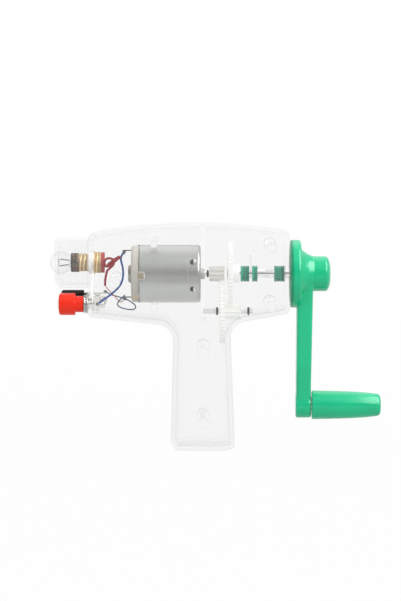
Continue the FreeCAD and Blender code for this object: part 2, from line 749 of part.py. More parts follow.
def armature():
    """Three pole laminated core on the motor shaft."""
    start = value(ARMATURE_START)
    end = start + size.armature_length
    radius = value(ARMATURE_R)
    core = cylinder_x(start, end, radius, 0, size.axis_z)
    slots = [cylinder_x(start - 1, end + 1, size.shaft_r + size.seat_gap, 0, size.axis_z)]
    for turn in (0, 120, 240):
        slot = block(start - 1, end + 1, -size.slot_width / 2, size.slot_width / 2,
                     size.axis_z + radius - size.slot_depth, size.axis_z + radius + 1)
        slot.rotate(Vector(0, 0, size.axis_z), Vector(1, 0, 0), turn)
        slots.append(slot)
    return clean_solid(core.cut(slots))


shaped("motor_armature", armature())
turned("motor_commutator", tube_corners(
    ARMATURE_START + " - seat_gap - commutator_length", ARMATURE_START + " - seat_gap",
    "commutator_r", "shaft_r + seat_gap"))


# ---------------------------------------------------------------- the gears


def involute_angle(base_r, radius):
    """Involute function of the pressure angle at a radius."""
    ratio = max(radius / base_r, 1.0)
    pressure = math.acos(1 / ratio)
    return math.tan(pressure) - pressure


def gear_outline(teeth, shift, along, height, phase):
    """Closed tooth outline round an axis along X. Phase turns it, in tooth pitches."""
    module = size.gear_module
    pressure = math.radians(20)
    pitch_r = module * teeth / 2
    base_r = pitch_r * math.cos(pressure)
    tip_r = pitch_r + module * (0.95 + shift)
    root_r = pitch_r - module * (1.25 - shift)
    half_thick = math.pi / (2 * teeth) + 2 * shift * math.tan(pressure) / teeth
    half_thick -= size.backlash / 2 / (2 * pitch_r)
    half_at_base = half_thick + involute_angle(base_r, pitch_r)
    start_r = max(base_r, root_r)
    radii = [start_r + (tip_r - start_r) * share for share in (0, 0.3, 0.65, 1)]
    edges = []
    points = []
    for tooth in range(int(teeth)):
        centre = 2 * math.pi * (tooth + phase) / teeth
        rising = [(radius, centre - half_at_base + involute_angle(base_r, radius))
                  for radius in radii]
        falling = [(radius, centre + half_at_base - involute_angle(base_r, radius))
                   for radius in reversed(radii)]
        points.append((rising, falling, centre))

    def at(radius, angle):
        return Vector(along, radius * math.sin(angle), height - radius * math.cos(angle))

    count = len(points)
    for index, (rising, falling, centre) in enumerate(points):
        for flank in (rising, falling):
            curve = Part.BSplineCurve()
            curve.interpolate([at(radius, angle) for radius, angle in flank])
            edges.append(curve.toShape())
        edges.append(Part.Arc(at(*rising[-1]), at(tip_r, centre), at(*falling[0])).toShape())
        following = points[(index + 1) % count]
        root_start = falling[-1][1]
        root_end = following[0][0][1] + (2 * math.pi if index == count - 1 else 0)
        middle = (root_start + root_end) / 2
        low_start = at(root_r, root_start)
        low_end = at(root_r, root_end)
        if start_r - root_r > 0.001:
            edges.append(Part.LineSegment(at(*falling[-1]), low_start).toShape())
            edges.append(Part.LineSegment(low_end, at(*following[0][0])).toShape())
        edges.append(Part.Arc(low_start, at(root_r, middle), low_end).toShape())
    return Part.Wire(Part.__sortEdges__(edges))


def toothed(teeth, shift, start, length, height, phase):
    """Toothed blank."""
    wire = gear_outline(teeth, shift, start, height, phase)
    return Part.Face(wire).extrude(Vector(length, 0, 0))


def pinion(start, length, height, bore, phase):
    """Pinion with a bore for its shaft."""
    blank = toothed(size.pinion_teeth, size.profile_shift, start, length, height, phase)
    return clean_solid(blank.cut(cylinder_x(start - 1, start + length + 1, bore, 0, height)))


def wheel(start, thick, height, bore, hub_end, phase):
    """Wheel with a thin web between rim and hub."""
    blank = toothed(size.wheel_teeth, -size.profile_shift, start, thick, height, phase)
    root_r = size.gear_module * (size.wheel_teeth / 2 - 1.25 - size.profile_shift)
    rim_r = root_r - size.wheel_rim
    recess = (thick - size.wheel_web) / 2
    ring = cylinder_x(start - 1, start + recess, rim_r, 0, height)
    ring = ring.fuse(cylinder_x(start + thick - recess, start + thick + 1, rim_r, 0, height))
    hub = cylinder_x(start, hub_end, size.wheel_hub_r, 0, height)
    solid = blank.cut(ring).fuse(hub)
    return clean_solid(solid.cut(cylinder_x(start - 1, hub_end + 1, bore, 0, height)))


counter_z = countershaft_z()
# A gap of the pinion faces a tooth of the wheel on the line between their axes. Angles start at
# the bottom, so a wheel above its pinion has a tooth there at phase 0.
facing_up = size.pinion_teeth / 2
second_pinion_x = size.first_wheel_x + size.first_wheel_thick + size.seat_gap
shaped("motor_pinion", pinion(size.motor_pinion_x, size.motor_pinion_length, size.axis_z,
                              size.shaft_r + size.seat_gap, 0.5))
shaped("counter_wheel", wheel(size.first_wheel_x, size.first_wheel_thick, counter_z,
                              size.counter_r + size.seat_gap,
                              size.first_wheel_x + size.first_wheel_thick,
                              size.wheel_teeth / 2))
shaped("counter_pinion", pinion(second_pinion_x, size.second_pinion_length, counter_z,
                                size.counter_r + size.seat_gap, facing_up + 0.5))
shaped("crank_wheel", wheel(size.second_wheel_x, size.second_wheel_thick, size.axis_z,
                            size.axle_r + size.seat_gap,
                            size.second_wheel_x + size.second_hub_length, 0.0))
turned("countershaft", rod_corners(
    "bulkhead_x + 1 + end_float", "rib_x + rib_thick + 0.6", "counter_r"),
    height="axis_z - gear_module * (pinion_teeth + wheel_teeth) / 2")


# ---------------------------------------------------------------- the crank axle and its collars


def collar(label, start, end):
    """Green collar with a shallow groove round its middle."""
    middle = "(" + start + " + " + end + ") / 2"
    turned(label, [
        (start, "axle_r + seat_gap"),
        (start, "collar_r"),
        (middle + " - 0.3", "collar_r"),
        (middle + " - 0.3", "collar_r - collar_groove"),
        (middle + " + 0.3", "collar_r - collar_groove"),
        (middle + " + 0.3", "collar_r"),
        (end, "collar_r"),
        (end, "axle_r + seat_gap"),
    ])


collar("axle_collar_inner", "rib_x - end_float - inner_collar_length", "rib_x - end_float")
collar("axle_collar_middle", "rib_x + rib_thick + end_float",
       "rib_x + rib_thick + end_float + middle_collar_length")
collar("axle_collar_outer", "back_x - wall - end_float - outer_collar_length",
       "back_x - wall - end_float")
turned("crank_axle", rod_corners("second_wheel_x - 0.4", AXLE_END := "arm_x + arm_thick_top", "axle_r"))


# ---------------------------------------------------------------- the crank

DISC_X = "back_x + disc_gap"
crank_blank = turned("crank_blank", [
    (DISC_X + " + disc_dish", "0"),
    (DISC_X + " + disc_dish", "disc_r - 3"),
    (DISC_X, "disc_r - 1.8"),
    (DISC_X, "disc_r - 0.5"),
    (DISC_X + " + 0.5", "disc_r"),
    (DISC_X + " + disc_thick - 0.8", "disc_r"),
    (DISC_X + " + disc_thick", "disc_r - 0.9"),
    (DISC_X + " + disc_thick", "flare_r"),
    (DISC_X + " + disc_thick + flare_length * 0.25", "hub_r + (flare_r - hub_r) * 0.62"),
    (DISC_X + " + disc_thick + flare_length * 0.6", "hub_r + (flare_r - hub_r) * 0.26"),
    (DISC_X + " + disc_thick + flare_length", "hub_r"),
    (DISC_X + " + disc_thick + flare_length + hub_length", "hub_r"),
    (DISC_X + " + disc_thick + flare_length + hub_length + hub_dome * 0.55", "hub_r - 1.0"),
    (DISC_X + " + disc_thick + flare_length + hub_length + hub_dome", "hub_r - 3.4"),
    (DISC_X + " + disc_thick + flare_length + hub_length + hub_dome", "0"),
])


def crank_arm():
    """Disc, hub, arm and handle boss in one moulding, bored for the axle and the pin."""
    boss_z = size.axis_z - size.throw
    sections = []
    for z, thick, width in ((size.axis_z, size.arm_thick_top, size.arm_width_top),
                            (boss_z, size.arm_thick_low, size.arm_width_low)):
        sections.append(rounded_section(size.arm_x - (size.arm_thick_top - thick) * 0.4, thick,
                                        width, size.arm_round, z))
    arm = Part.makeLoft(sections, True, True)
    boss_x = boss_start_x()
    boss = cylinder_x(boss_x, boss_x + size.boss_length, size.boss_r, 0, boss_z)
    rims = [edge for edge in boss.Edges if isinstance(edge.Curve, Part.Circle)]
    boss = boss.makeFillet(size.boss_round, rims)
    solid = crank_blank.Shape.fuse([arm, boss])
    bores = [
        cylinder_x(size.back_x, value(AXLE_END) + size.end_float, size.axle_r + size.seat_gap, 0,
                   size.axis_z),
        cylinder_x(boss_x + size.boss_length - size.pin_seat, boss_x + size.boss_length + 1,
                   size.pin_r + size.seat_gap, 0, boss_z),
    ]
    return clean_solid(solid.cut(bores))


def boss_start_x():
    """Inner face of the boss, a little proud of the arm."""
    return size.arm_x - 0.45


def rounded_section(x_low, thick, width, radius, height):
    """Rounded rectangle across the arm, at one height."""
    x_high = x_low + thick
    half = width / 2
    corners = (Vector(x_low, -half, height), Vector(x_high, -half, height),
               Vector(x_high, half, height), Vector(x_low, half, height))
    bends = []
    for index in range(4):
        bends.append(round_corner(corners[index - 1], corners[index], corners[(index + 1) % 4],
                                  radius))
    edges = []
    for index in range(4):
        edges.append(Part.Arc(*bends[index]).toShape())
        edges.append(Part.LineSegment(bends[index][2], bends[(index + 1) % 4][0]).toShape())
    return Part.Wire(edges)


parts.remove(crank_blank)
shaped("crank_arm", crank_arm())

PIN_START = "arm_x - 0.45 + boss_length - pin_seat"
HANDLE_X = "arm_x - 0.45 + boss_length + handle_gap"
HANDLE_END = "arm_x - 0.45 + boss_length + handle_gap + handle_length"
PIN_END = "arm_x - 0.45 + boss_length + handle_gap + handle_length - handle_wall - end_float"
BEAD_END = PIN_END + " - bead_back"
BEAD_START = BEAD_END + " - bead_length"
HANDLE_Z = "axis_z - throw"
turned("handle_pin", [
    (PIN_START, "0"),
    (PIN_START, "pin_r"),
    (BEAD_START, "pin_r"),
    (BEAD_START + " + 0.4", "bead_r"),
    (BEAD_END + " - 0.4", "bead_r"),
    (BEAD_END, "pin_r"),
    (PIN_END, "pin_r"),
    (PIN_END, "0"),
], height=HANDLE_Z)
BORE_R = "pin_r + run_gap"
handle = turned("handle_grip", [
    (HANDLE_X, BORE_R),
    (HANDLE_X, "handle_r_near"),
    (HANDLE_END + " - handle_taper", "handle_r_mid"),
    (HANDLE_END + " - handle_taper / 2", "(handle_r_mid + handle_r_far) / 2 + 0.25"),
    (HANDLE_END, "handle_r_far"),
    (HANDLE_END, "0"),
    (HANDLE_END + " - handle_wall", "0"),
    (HANDLE_END + " - handle_wall", BORE_R),
    (BEAD_END + " + end_float", BORE_R),
    (BEAD_END + " + end_float", "bead_r + end_float"),
    (BEAD_START + " - end_float", "bead_r + end_float"),
    (BEAD_START + " - end_float", BORE_R),
], height=HANDLE_Z)
soften(handle, "handle_round", [(HANDLE_X, "handle_r_near"), (HANDLE_END, "handle_r_far")])


# ---------------------------------------------------------------- the lamp and its holder

BASE_END = "base_front_x + base_flange_length + thread_pitch * (thread_turns + 0.5)"
GLASS_NECK_X = "base_front_x + base_flange_length"


def lamp_glass():
    """Round bulb with a short neck inside the lamp base."""
    centre = Vector(size.bulb_x, 0, size.lamp_z)
    neck_end = value(GLASS_NECK_X)
    outer = Part.makeSphere(size.bulb_r, centre)
    outer = outer.fuse(cylinder_x(size.bulb_x, neck_end, size.bulb_neck_r, 0, size.lamp_z))
    inner = Part.makeSphere(size.bulb_r - size.glass_wall, centre)
    inner = inner.fuse(cylinder_x(size.bulb_x, neck_end - size.glass_wall,
                                  size.bulb_neck_r - size.glass_wall, 0, size.lamp_z))
    return clean_solid(outer.cut(inner))


shaped("lamp_glass", lamp_glass())


def lamp_base_corners():
    """Sheet metal base: a plain rim, then the grooves of the thread."""
    rim_end = "base_front_x + base_flange_length"
    root = "thread_crest_r - thread_depth"
    bore = "thread_crest_r - thread_depth - base_wall"
    corners = [("base_front_x", "bulb_neck_r + seat_gap"), ("base_front_x", "base_flange_r"),
               (rim_end, "base_flange_r"), (rim_end, root)]
    for turn in range(int(size.thread_turns)):
        start = rim_end + " + thread_pitch * " + str(turn)
        corners.append((start + " + thread_pitch * 0.25", root))
        corners.append((start + " + thread_pitch * 0.5", "thread_crest_r"))
        corners.append((start + " + thread_pitch * 0.75", "thread_crest_r"))
        corners.append((start + " + thread_pitch", root))
    corners.append((BASE_END, root))
    corners.append((BASE_END, bore))
    corners.append((rim_end + " + seat_gap", bore))
    corners.append((rim_end + " + seat_gap", "bulb_neck_r + seat_gap"))
    return corners


turned("lamp_base", lamp_base_corners(), height="lamp_z")
turned("lamp_insulator", [
    (BASE_END + " + seat_gap", "tip_r + seat_gap"),
    (BASE_END + " + seat_gap", "thread_crest_r - thread_depth - button_play"),
    (BASE_END + " + glass_button_length", "tip_r + button_rim"),
    (BASE_END + " + glass_button_length", "tip_r + seat_gap"),
], height="lamp_z")
turned("lamp_tip", [
    (BASE_END + " + seat_gap", "0"),
    (BASE_END + " + seat_gap", "tip_r"),
    (BASE_END + " + glass_button_length + tip_length * 0.5", "tip_r"),
    (BASE_END + " + glass_button_length + tip_length", "tip_r - tip_taper"),
    (BASE_END + " + glass_button_length + tip_length", "0"),
], height="lamp_z")


def round_path(points, share=0.45):
    """Straight runs joined by tangent arcs, through points taken as corners."""
    edges = []
    last = points[0]
    for index in range(1, len(points) - 1):
        before, corner, after = points[index - 1:index + 2]
        shorter = min((corner - before).Length, (after - corner).Length)
        turn = (corner - before).getAngle(after - corner)
        radius = share * shorter / math.tan(turn / 2)
        start, middle, end = round_corner(before, corner, after, radius)
        edges.append(Part.LineSegment(last, start).toShape())
        edges.append(Part.Arc(start, middle, end).toShape())
        last = end
    edges.append(Part.LineSegment(last, points[-1]).toShape())
    return Part.Wire(edges)


def rod_along(points, radius):
    """Round rod along a path, checked against its section times its length."""
    path = round_path(points)
    start = path.Edges[0]
    direction = start.tangentAt(start.FirstParameter)
    section = Part.Wire([Part.makeCircle(radius, points[0], direction)])
    solid = path.makePipeShell([section], True, False, 2)
    expected = math.pi * radius ** 2 * path.Length
    if abs(solid.Volume - expected) > 0.02 * expected:
        raise RuntimeError("a rod's volume is %.2f, not %.2f" % (solid.Volume, expected))
    return solid


def lamp_supports():
    """Two wires that rise from the neck and spread towards the filament's ends."""
    start = size.base_front_x + size.base_flange_length / 2
    rods = []
    for sign in (-1, 1):
        bend = Vector(size.bulb_x + size.support_bend, 0, size.lamp_z + sign * size.support_spread)
        tip = Vector(size.bulb_x - size.filament_lead, 0,
                     size.lamp_z + sign * size.support_flare)
        low = Vector(start, 0, size.lamp_z + sign * size.support_spread)
        rods.append(rod_along([low, bend, tip], size.support_r))
    return Part.makeCompound(rods)


shaped("lamp_supports", lamp_supports())
filament_x = size.bulb_x - size.filament_lead
filament_half = size.support_flare - size.support_r * 0.3
shaped("lamp_filament", Part.makeCylinder(
    size.filament_r, 2 * filament_half,
    Vector(filament_x - size.support_r - size.filament_r, 0, size.lamp_z - filament_half),
    Vector(0, 0, 1)))


def glass_bead():
    """Glass bead that ties the two support wires together."""
    middle = Vector(size.bulb_x + size.bead_setback, 0, size.lamp_z)
    reach = size.support_spread + size.bead_glass_r
    bead = Part.makeCylinder(size.bead_glass_r, 2 * reach, middle - Vector(0, 0, reach),
                             Vector(0, 0, 1))
    rims = [edge for edge in bead.Edges if isinstance(edge.Curve, Part.Circle)]
    bead = bead.makeFillet(size.bead_glass_r * 0.6, rims)
    holes = []
    for sign in (-1, 1):
        holes.append(cylinder_x(middle.x - 3, middle.x + 3, size.support_r + size.seat_gap, 0,
                                size.lamp_z + sign * size.support_spread))
    return clean_solid(bead.cut(holes))


shaped("lamp_bead", glass_bead())

TIP_END = BASE_END + " + glass_button_length + tip_length"
SHELL_START = "front_x"
SHELL_END = TIP_END + " + shell_reach"
SHELL_BORE = "base_flange_r + seat_gap"
SHELL_OUT = "base_flange_r + seat_gap + shell_wall"
WALL_BACK = "front_x + wall + seat_gap"
STRAP_BACK = WALL_BACK + " + strap_thick"
RIM_START = STRAP_BACK + " + seat_gap"
turned("lamp_holder_shell", [
    (SHELL_START, SHELL_BORE),
    (SHELL_START, SHELL_OUT),
    (RIM_START, SHELL_OUT),
    (RIM_START, SHELL_OUT + " + shell_rim"),
    (RIM_START + " + shell_wall", SHELL_OUT + " + shell_rim"),
    (RIM_START + " + shell_wall", SHELL_OUT),
    (SHELL_END, SHELL_OUT),
    (SHELL_END, SHELL_BORE),
], height="lamp_z")
WASHER_START = SHELL_END + " + seat_gap"
WASHER_END = WASHER_START + " + washer_thick"
CONTACT_END = WASHER_END + " + seat_gap + contact_head"
turned("lamp_holder_washer", tube_corners(
    WASHER_START, WASHER_END, "washer_r", "contact_r + seat_gap"), height="lamp_z")
turned("lamp_holder_contact", [
    (TIP_END + " + seat_gap", "0"),
    (TIP_END + " + seat_gap", "contact_head_r"),
    (WASHER_START + " - seat_gap", "contact_head_r"),
    (WASHER_START + " - seat_gap", "contact_r"),
    (WASHER_END + " + seat_gap", "contact_r"),
    (WASHER_END + " + seat_gap", "contact_head_r"),
    (CONTACT_END, "contact_head_r - contact_head * 0.5"),
    (CONTACT_END, "0"),
], height="lamp_z")


def lamp_strap():
    """Strip that joins the holder's shell to the red post, flat on the front wall."""
    start = value(WALL_BACK)
    end = value(STRAP_BACK)
    side = post_sides()[0]
    hole_r = value(SHELL_OUT) + size.seat_gap
    top = Vector(start, 0, size.lamp_z)
    low = Vector(start, side, size.post_z)
    across = Vector(1, 0, 0).cross(low - top).normalize() * (size.strap_width / 2)
    corners = [top + across, low + across, low - across, top - across]
    strip = Part.Face(Part.makePolygon(corners + corners[:1])).extrude(Vector(end - start, 0, 0))
    rings = [cylinder_x(start, end, hole_r + size.shell_rim, 0, size.lamp_z),
             cylinder_x(start, end, size.tag_r, side, size.post_z)]
    holes = [cylinder_x(start - 1, end + 1, hole_r, 0, size.lamp_z),
             cylinder_x(start - 1, end + 1, size.post_tail_r + size.seat_gap, side, size.post_z)]
    return clean_solid(strip.fuse(rings).cut(holes))


shaped("lamp_strap", lamp_strap())


# ---------------------------------------------------------------- the terminal posts

COLLAR_START = "front_x - seat_gap - collar_length"
KNOB_BACK = COLLAR_START + " - seat_gap"
KNOB_STEP = "knob_front_x + knob_length"
INSERT_START = "knob_front_x + insert_back"
INSERT_END = "knob_front_x + insert_back + insert_length"
TAG_FRONTS = {"red": STRAP_BACK + " + seat_gap", "black": WALL_BACK}


def post(colour, side):
    """Stud, knob, insert, collar, tag and nut of one terminal post."""
    stud = turned(colour + "_post_blank", [
        ("post_front_x", "socket_r"),
        ("post_front_x", "post_r - stud_chamfer"),
        ("post_front_x + stud_chamfer", "post_r"),
        (COLLAR_START + " - seat_gap", "post_r"),
        (COLLAR_START + " - seat_gap", "post_tail_r"),
        ("front_x + post_tail_length", "post_tail_r"),
        ("front_x + post_tail_length", "0"),
        ("post_front_x + socket_depth", "0"),
        ("post_front_x + socket_depth", "socket_r"),
    ], height="post_z", side=side)
    hole_x = value(KNOB_BACK) - size.cross_hole_back
    hole = Part.makeCylinder(size.cross_hole_r, 4 * size.post_r,
                             Vector(hole_x, value(side), size.post_z - 2 * size.post_r),
                             Vector(0, 0, 1))
    cut_body(stud, [hole], colour + "_post_stud")
    knob = turned(colour + "_post_knob", [
        ("knob_front_x", "post_r + run_gap"),
        ("knob_front_x", "knob_r - knob_chamfer"),
        ("knob_front_x + knob_chamfer", "knob_r"),
        (KNOB_STEP, "knob_r"),
        (KNOB_STEP, "knob_neck_r"),
        (KNOB_BACK, "knob_neck_r"),
        (KNOB_BACK, "post_r + run_gap"),
        (INSERT_END + " + run_gap", "post_r + run_gap"),
        (INSERT_END + " + run_gap", "insert_r + run_gap"),
        (INSERT_START + " - run_gap", "insert_r + run_gap"),
        (INSERT_START + " - run_gap", "post_r + run_gap"),
    ], height="post_z", side=side)
    soften(knob, "knob_round", [(KNOB_STEP, "knob_r")])
    turned(colour + "_post_insert", tube_corners(
        INSERT_START, INSERT_END, "insert_r", "post_r + run_gap"), height="post_z", side=side)
    turned(colour + "_post_collar", tube_corners(
        COLLAR_START, "front_x - seat_gap", "post_collar_r", "post_tail_r + seat_gap"),
        height="post_z", side=side)
    tag_front = value(TAG_FRONTS[colour])
    shaped(colour + "_post_tag", solder_tag(tag_front, value(side)))
    shaped(colour + "_post_nut", hex_nut(tag_front + size.tag_thick + size.seat_gap, value(side)))


def solder_tag(start, side):
    """Ring under the nut with a tail bent back along X."""
    end = start + size.tag_thick
    ring = cylinder_x(start, end, size.tag_r, side, size.post_z)
    half = size.tag_tail_width / 2
    tail_z = size.post_z + size.tag_r + size.tag_lift
    upright = block(start, end, side - half, side + half, size.post_z, tail_z)
    tail = block(start, start + size.tag_reach, side - half, side + half,
                 tail_z - size.tag_thick, tail_z)
    solid = ring.fuse([upright, tail])
    hole = cylinder_x(start - 1, end + 1, size.post_tail_r + size.seat_gap, side, size.post_z)
    return clean_solid(solid.cut(hole))


def hex_nut(start, side):
    """Six sided nut behind the tag."""
    corners = []
    for index in range(7):
        angle = math.radians(60 * index)
        corners.append(Vector(start, side + size.nut_r * math.cos(angle),
                              size.post_z + size.nut_r * math.sin(angle)))
    nut = Part.Face(Part.makePolygon(corners)).extrude(Vector(size.nut_thick, 0, 0))
    hole = cylinder_x(start - 1, start + size.nut_thick + 1, size.post_tail_r + size.seat_gap,
                      side, size.post_z)
    return clean_solid(nut.cut(hole))


post("red", "-post_pitch / 2")
post("black", "post_pitch / 2")


# ---------------------------------------------------------------- the wires


def wire_ends():
    """Points where wires are soldered: both motor tabs, the lamp contact and both post tags."""
    top, bottom = tab_heights()
    tab_x = value(CAP_REAR) - size.tab_length
    tag_z = size.post_z + size.tag_r + size.tag_lift + size.wire_r + size.solder_gap
    under = size.tab_thick / 2 + size.solder_gap
    return {
        "top": Vector(tab_x, 0, top - under - size.wire_r),
        "bottom_low": Vector(tab_x, 0, bottom - under - size.red_wire_r),
        "bottom_high": Vector(tab_x, 0, bottom + under + size.wire_r),
        "contact": Vector(value(CONTACT_END) + size.solder_gap + size.red_wire_r, 0, size.lamp_z),
        "red_tag": Vector(value(TAG_FRONTS["red"]) + size.tag_reach, post_sides()[0], tag_z),
        "black_tag": Vector(value(TAG_FRONTS["black"]) + size.tag_reach, post_sides()[1], tag_z),
    }


ends = wire_ends()
RED_ROUTE = (
    ends["contact"] + Vector(0, 0, -1.4),
    ends["contact"] + Vector(0.1, -0.5, 1.9),
    Vector(-44.3, -2.6, 92.0),
    Vector(-42.0, -4.4, 90.7),
    Vector(-40.3, -6.2, 92.0),
    Vector(-41.0, -8.2, 90.9),
    Vector(-43.4, -8.6, 88.0),
    Vector(-45.8, -8.6, 85.0),
    Vector(-46.5, -8.4, 81.6),
    Vector(-45.9, -7.6, 78.6),
    Vector(-43.4, -6.0, 76.0),
    Vector(-41.1, -4.2, 73.6),
    Vector(-40.1, -3.2, 70.7),
    ends["bottom_low"] + Vector(0.9, -0.6, 0),
)
BLUE_NEAR_ROUTE = (
    ends["top"] + Vector(0.6, -0.2, 0),
    Vector(-39.0, -1.6, 92.0),
    Vector(-38.1, -3.6, 88.6),
    Vector(-37.9, -5.4, 84.8),
    Vector(-38.2, -7.0, 80.8),
    Vector(-39.8, -8.4, 77.2),
    Vector(-42.6, -9.2, 75.2),
    ends["red_tag"] + Vector(-0.6, 0, 0),
)
BLUE_FAR_ROUTE = (
    ends["bottom_high"] + Vector(0.8, 0.5, 0),
    Vector(-40.8, 1.7, 72.9),
    Vector(-41.6, 1.4, 70.6),
    Vector(-40.0, -0.9, 68.0),
    Vector(-37.6, -3.6, 67.1),
    Vector(-34.8, -6.8, 66.6),
    Vector(-32.4, -9.4, 66.9),
    Vector(-31.9, -11.0, 68.6),
    Vector(-33.8, -11.2, 70.4),
    Vector(-36.6, -10.2, 71.8),
    Vector(-39.4, -8.8, 72.6),
    Vector(-42.2, -6.8, 72.5),
    Vector(-44.8, -2.2, 73.0),
    Vector(-46.0, 4.0, 74.2),
    ends["black_tag"] + Vector(-0.6, 0, 0),
)
shaped("red_wire", rod_along(list(RED_ROUTE), size.red_wire_r))
shaped("blue_wire_near", rod_along(list(BLUE_NEAR_ROUTE), size.wire_r))
shaped("blue_wire_far", rod_along(list(BLUE_FAR_ROUTE), size.wire_r))


# ---------------------------------------------------------------- checks and files

doc.recompute()
for item in doc.Objects:
    if "Invalid" in item.State or "Error" in item.State:
        raise RuntimeError("%s failed: %s" % (item.Label, item.State))
labels = [item.Label for item in parts]
if len(set(labels)) != len(labels):
    raise RuntimeError("two sub-parts share a label")
for item in parts:
    if item.Shape.isNull() or not item.Shape.isValid():
        raise RuntimeError("%s has no valid shape" % item.Label)

os.makedirs("parts", exist_ok=True)
for item in parts:
    item.Shape.exportStep("parts/%s.step" % item.Label)
print("%d sub-parts written" % len(parts))
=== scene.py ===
"""Looks of the hand crank generator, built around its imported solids.

It is laid out as an add-on and run as a script. Lengths are metres in the frame of the solids:
X runs to the crank, Y away from the viewer and Z up.
"""

import math  # noqa: E402

import bmesh  # noqa: E402
import bpy  # noqa: E402
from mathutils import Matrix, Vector, noise  # noqa: E402


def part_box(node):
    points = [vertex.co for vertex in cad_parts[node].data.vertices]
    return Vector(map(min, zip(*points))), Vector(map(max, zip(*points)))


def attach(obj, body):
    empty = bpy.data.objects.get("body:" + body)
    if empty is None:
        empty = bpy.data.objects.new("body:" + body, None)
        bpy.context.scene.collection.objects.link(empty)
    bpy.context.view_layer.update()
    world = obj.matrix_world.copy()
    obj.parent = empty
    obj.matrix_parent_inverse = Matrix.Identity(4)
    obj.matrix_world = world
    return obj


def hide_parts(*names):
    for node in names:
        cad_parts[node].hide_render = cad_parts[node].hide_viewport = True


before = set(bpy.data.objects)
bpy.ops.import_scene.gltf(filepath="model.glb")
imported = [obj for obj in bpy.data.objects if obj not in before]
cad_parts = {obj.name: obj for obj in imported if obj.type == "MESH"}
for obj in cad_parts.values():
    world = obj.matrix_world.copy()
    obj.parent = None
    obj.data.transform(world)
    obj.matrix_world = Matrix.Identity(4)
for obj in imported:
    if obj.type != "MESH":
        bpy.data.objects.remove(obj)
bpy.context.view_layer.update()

bl_info = {
    "name": "Hand crank generator",
    "version": (1, 0, 0),
    "blender": (4, 5, 0),
    "location": "3D View > Sidebar > Generator",
    "description": "Builds the looks of a hand crank generator around its solids",
    "category": "Object",
}

MM = 0.001
PREFIX = "generator"
MERGE = 1e-7
SHARP_EDGE = math.radians(40.0)
WALL = 2.0 * MM
VENT_BACK = 3.9 * MM
VENT_RISE = 6.4 * MM
VENT_DEPTH = 0.45 * MM
CLIP_AHEAD = 1.05 * MM
CLIP_RADII = (0.75 * MM, 0.3 * MM, 1.3 * MM)
VENT_SHADE_BEHIND = 0.95 * MM
VENT_SHADE_RADII = (1.9 * MM, 0.15 * MM, 1.9 * MM)
STUD_BEHIND_CAN = 7.42 * MM
STUD_OVER_CAN = 1.35 * MM
STUD_UNDER_CAN = 1.0 * MM
STUD_RADIUS = 1.6 * MM
JOINING_PINS = (
    (32.3 * MM, 97.0 * MM), (32.3 * MM, 68.9 * MM), (-42.0 * MM, 80.4 * MM),
    (0.0, 47.5 * MM), (0.0, 13.4 * MM),
)
PIN_RADIUS = 2.7 * MM
LAMP_BORE = 5.3 * MM
HANDLE_CLOSED_END = 4.0 * MM
HANDLE_CLEARANCE = 0.1 * MM
COLLAR_BORE = 2.02 * MM
COLLAR_RIB = 1.25 * MM
GLASS_NECK = 3.6 * MM
GLASS_STEPS = 24
RIM_OVER_THREAD = 0.15 * MM
THREAD_AFTER_RIM = 0.35 * MM
THREAD_DEPTH = 0.35 * MM
SHELL_BORE = 4.62 * MM
SHELL_SHEET = 0.35 * MM
SHELL_RIM_GAP = 0.45 * MM
SHELL_THREAD_START = 1.1 * MM
SHELL_THREAD_END = 0.7 * MM
SHELL_RIDGE_SINK = 0.3 * MM
POST_RADIUS = 3.0 * MM
POST_TAIL = 1.75 * MM
KNOB_WIDE_LENGTH = 7.3 * MM
KNOB_NECK = 3.85 * MM
KNOB_SHIFT = 0.5 * MM
KNOB_CLEARANCE = 0.05 * MM
KNOB_CHAMFER = 0.7 * MM
RING_GAP = 0.03 * MM
RING_GROOVE = 0.4 * MM
RING_GROOVE_DEPTH = 0.45 * MM
BLACK_WIDE_LENGTH = 10.4 * MM
ALONG_X = (0.0, math.pi / 2, 0.0)
OFF_X_LINE = (0.0, 1.0, 1.0)
OFF_Y_LINE = (1.0, 0.0, 1.0)
OFF_Z_LINE = (1.0, 1.0, 0.0)
X_ONLY = (1.0, 0.0, 0.0)
Z_ONLY = (0.0, 0.0, 1.0)
MARKS = (900.0, 60.0, 60.0)
FINE_MARKS = (2500.0, 40.0, 40.0)
FINE_SKIN = 0.04 * MM
FLOOR_SIDE = 6.0
FLOOR_DROP = 0.2 * MM
FLOOR_FADE = 1.2
MAIN_SIDE = (0.2, -0.62, 0.76)
PANEL_BRIGHT = math.radians(28.0)
PANEL_DARK = math.radians(42.0)


# ---------------------------------------------------------------- node trees


class Wire:
    """Output of a node. Sums, products and comparisons of it add Math nodes."""

    def __init__(self, graph, socket):
        self.graph = graph
        self.socket = socket

    def maths(self, operation, *others):
        return self.graph.maths(operation, self, *others)

    def __add__(self, other):
        return self.maths("ADD", other)

    __radd__ = __add__

    def __mul__(self, other):
        return self.maths("MULTIPLY", other)

    __rmul__ = __mul__

    def __sub__(self, other):
        return self.maths("SUBTRACT", other)

    def __rsub__(self, other):
        return self.graph.maths("SUBTRACT", other, self)

    def __truediv__(self, other):
        return self.maths("DIVIDE", other)

    def __rtruediv__(self, other):
        return self.graph.maths("DIVIDE", other, self)

    def __pow__(self, other):
        return self.maths("POWER", other)

    def __neg__(self):
        return self.maths("MULTIPLY", -1.0)

    def between(self, low, high):
        """0 below low, 1 above high and smooth between them."""
        return self.graph.node(
            "ShaderNodeMapRange",
            {"interpolation_type": "SMOOTHSTEP"},
            {"Value": self, "From Min": low, "From Max": high},
        )


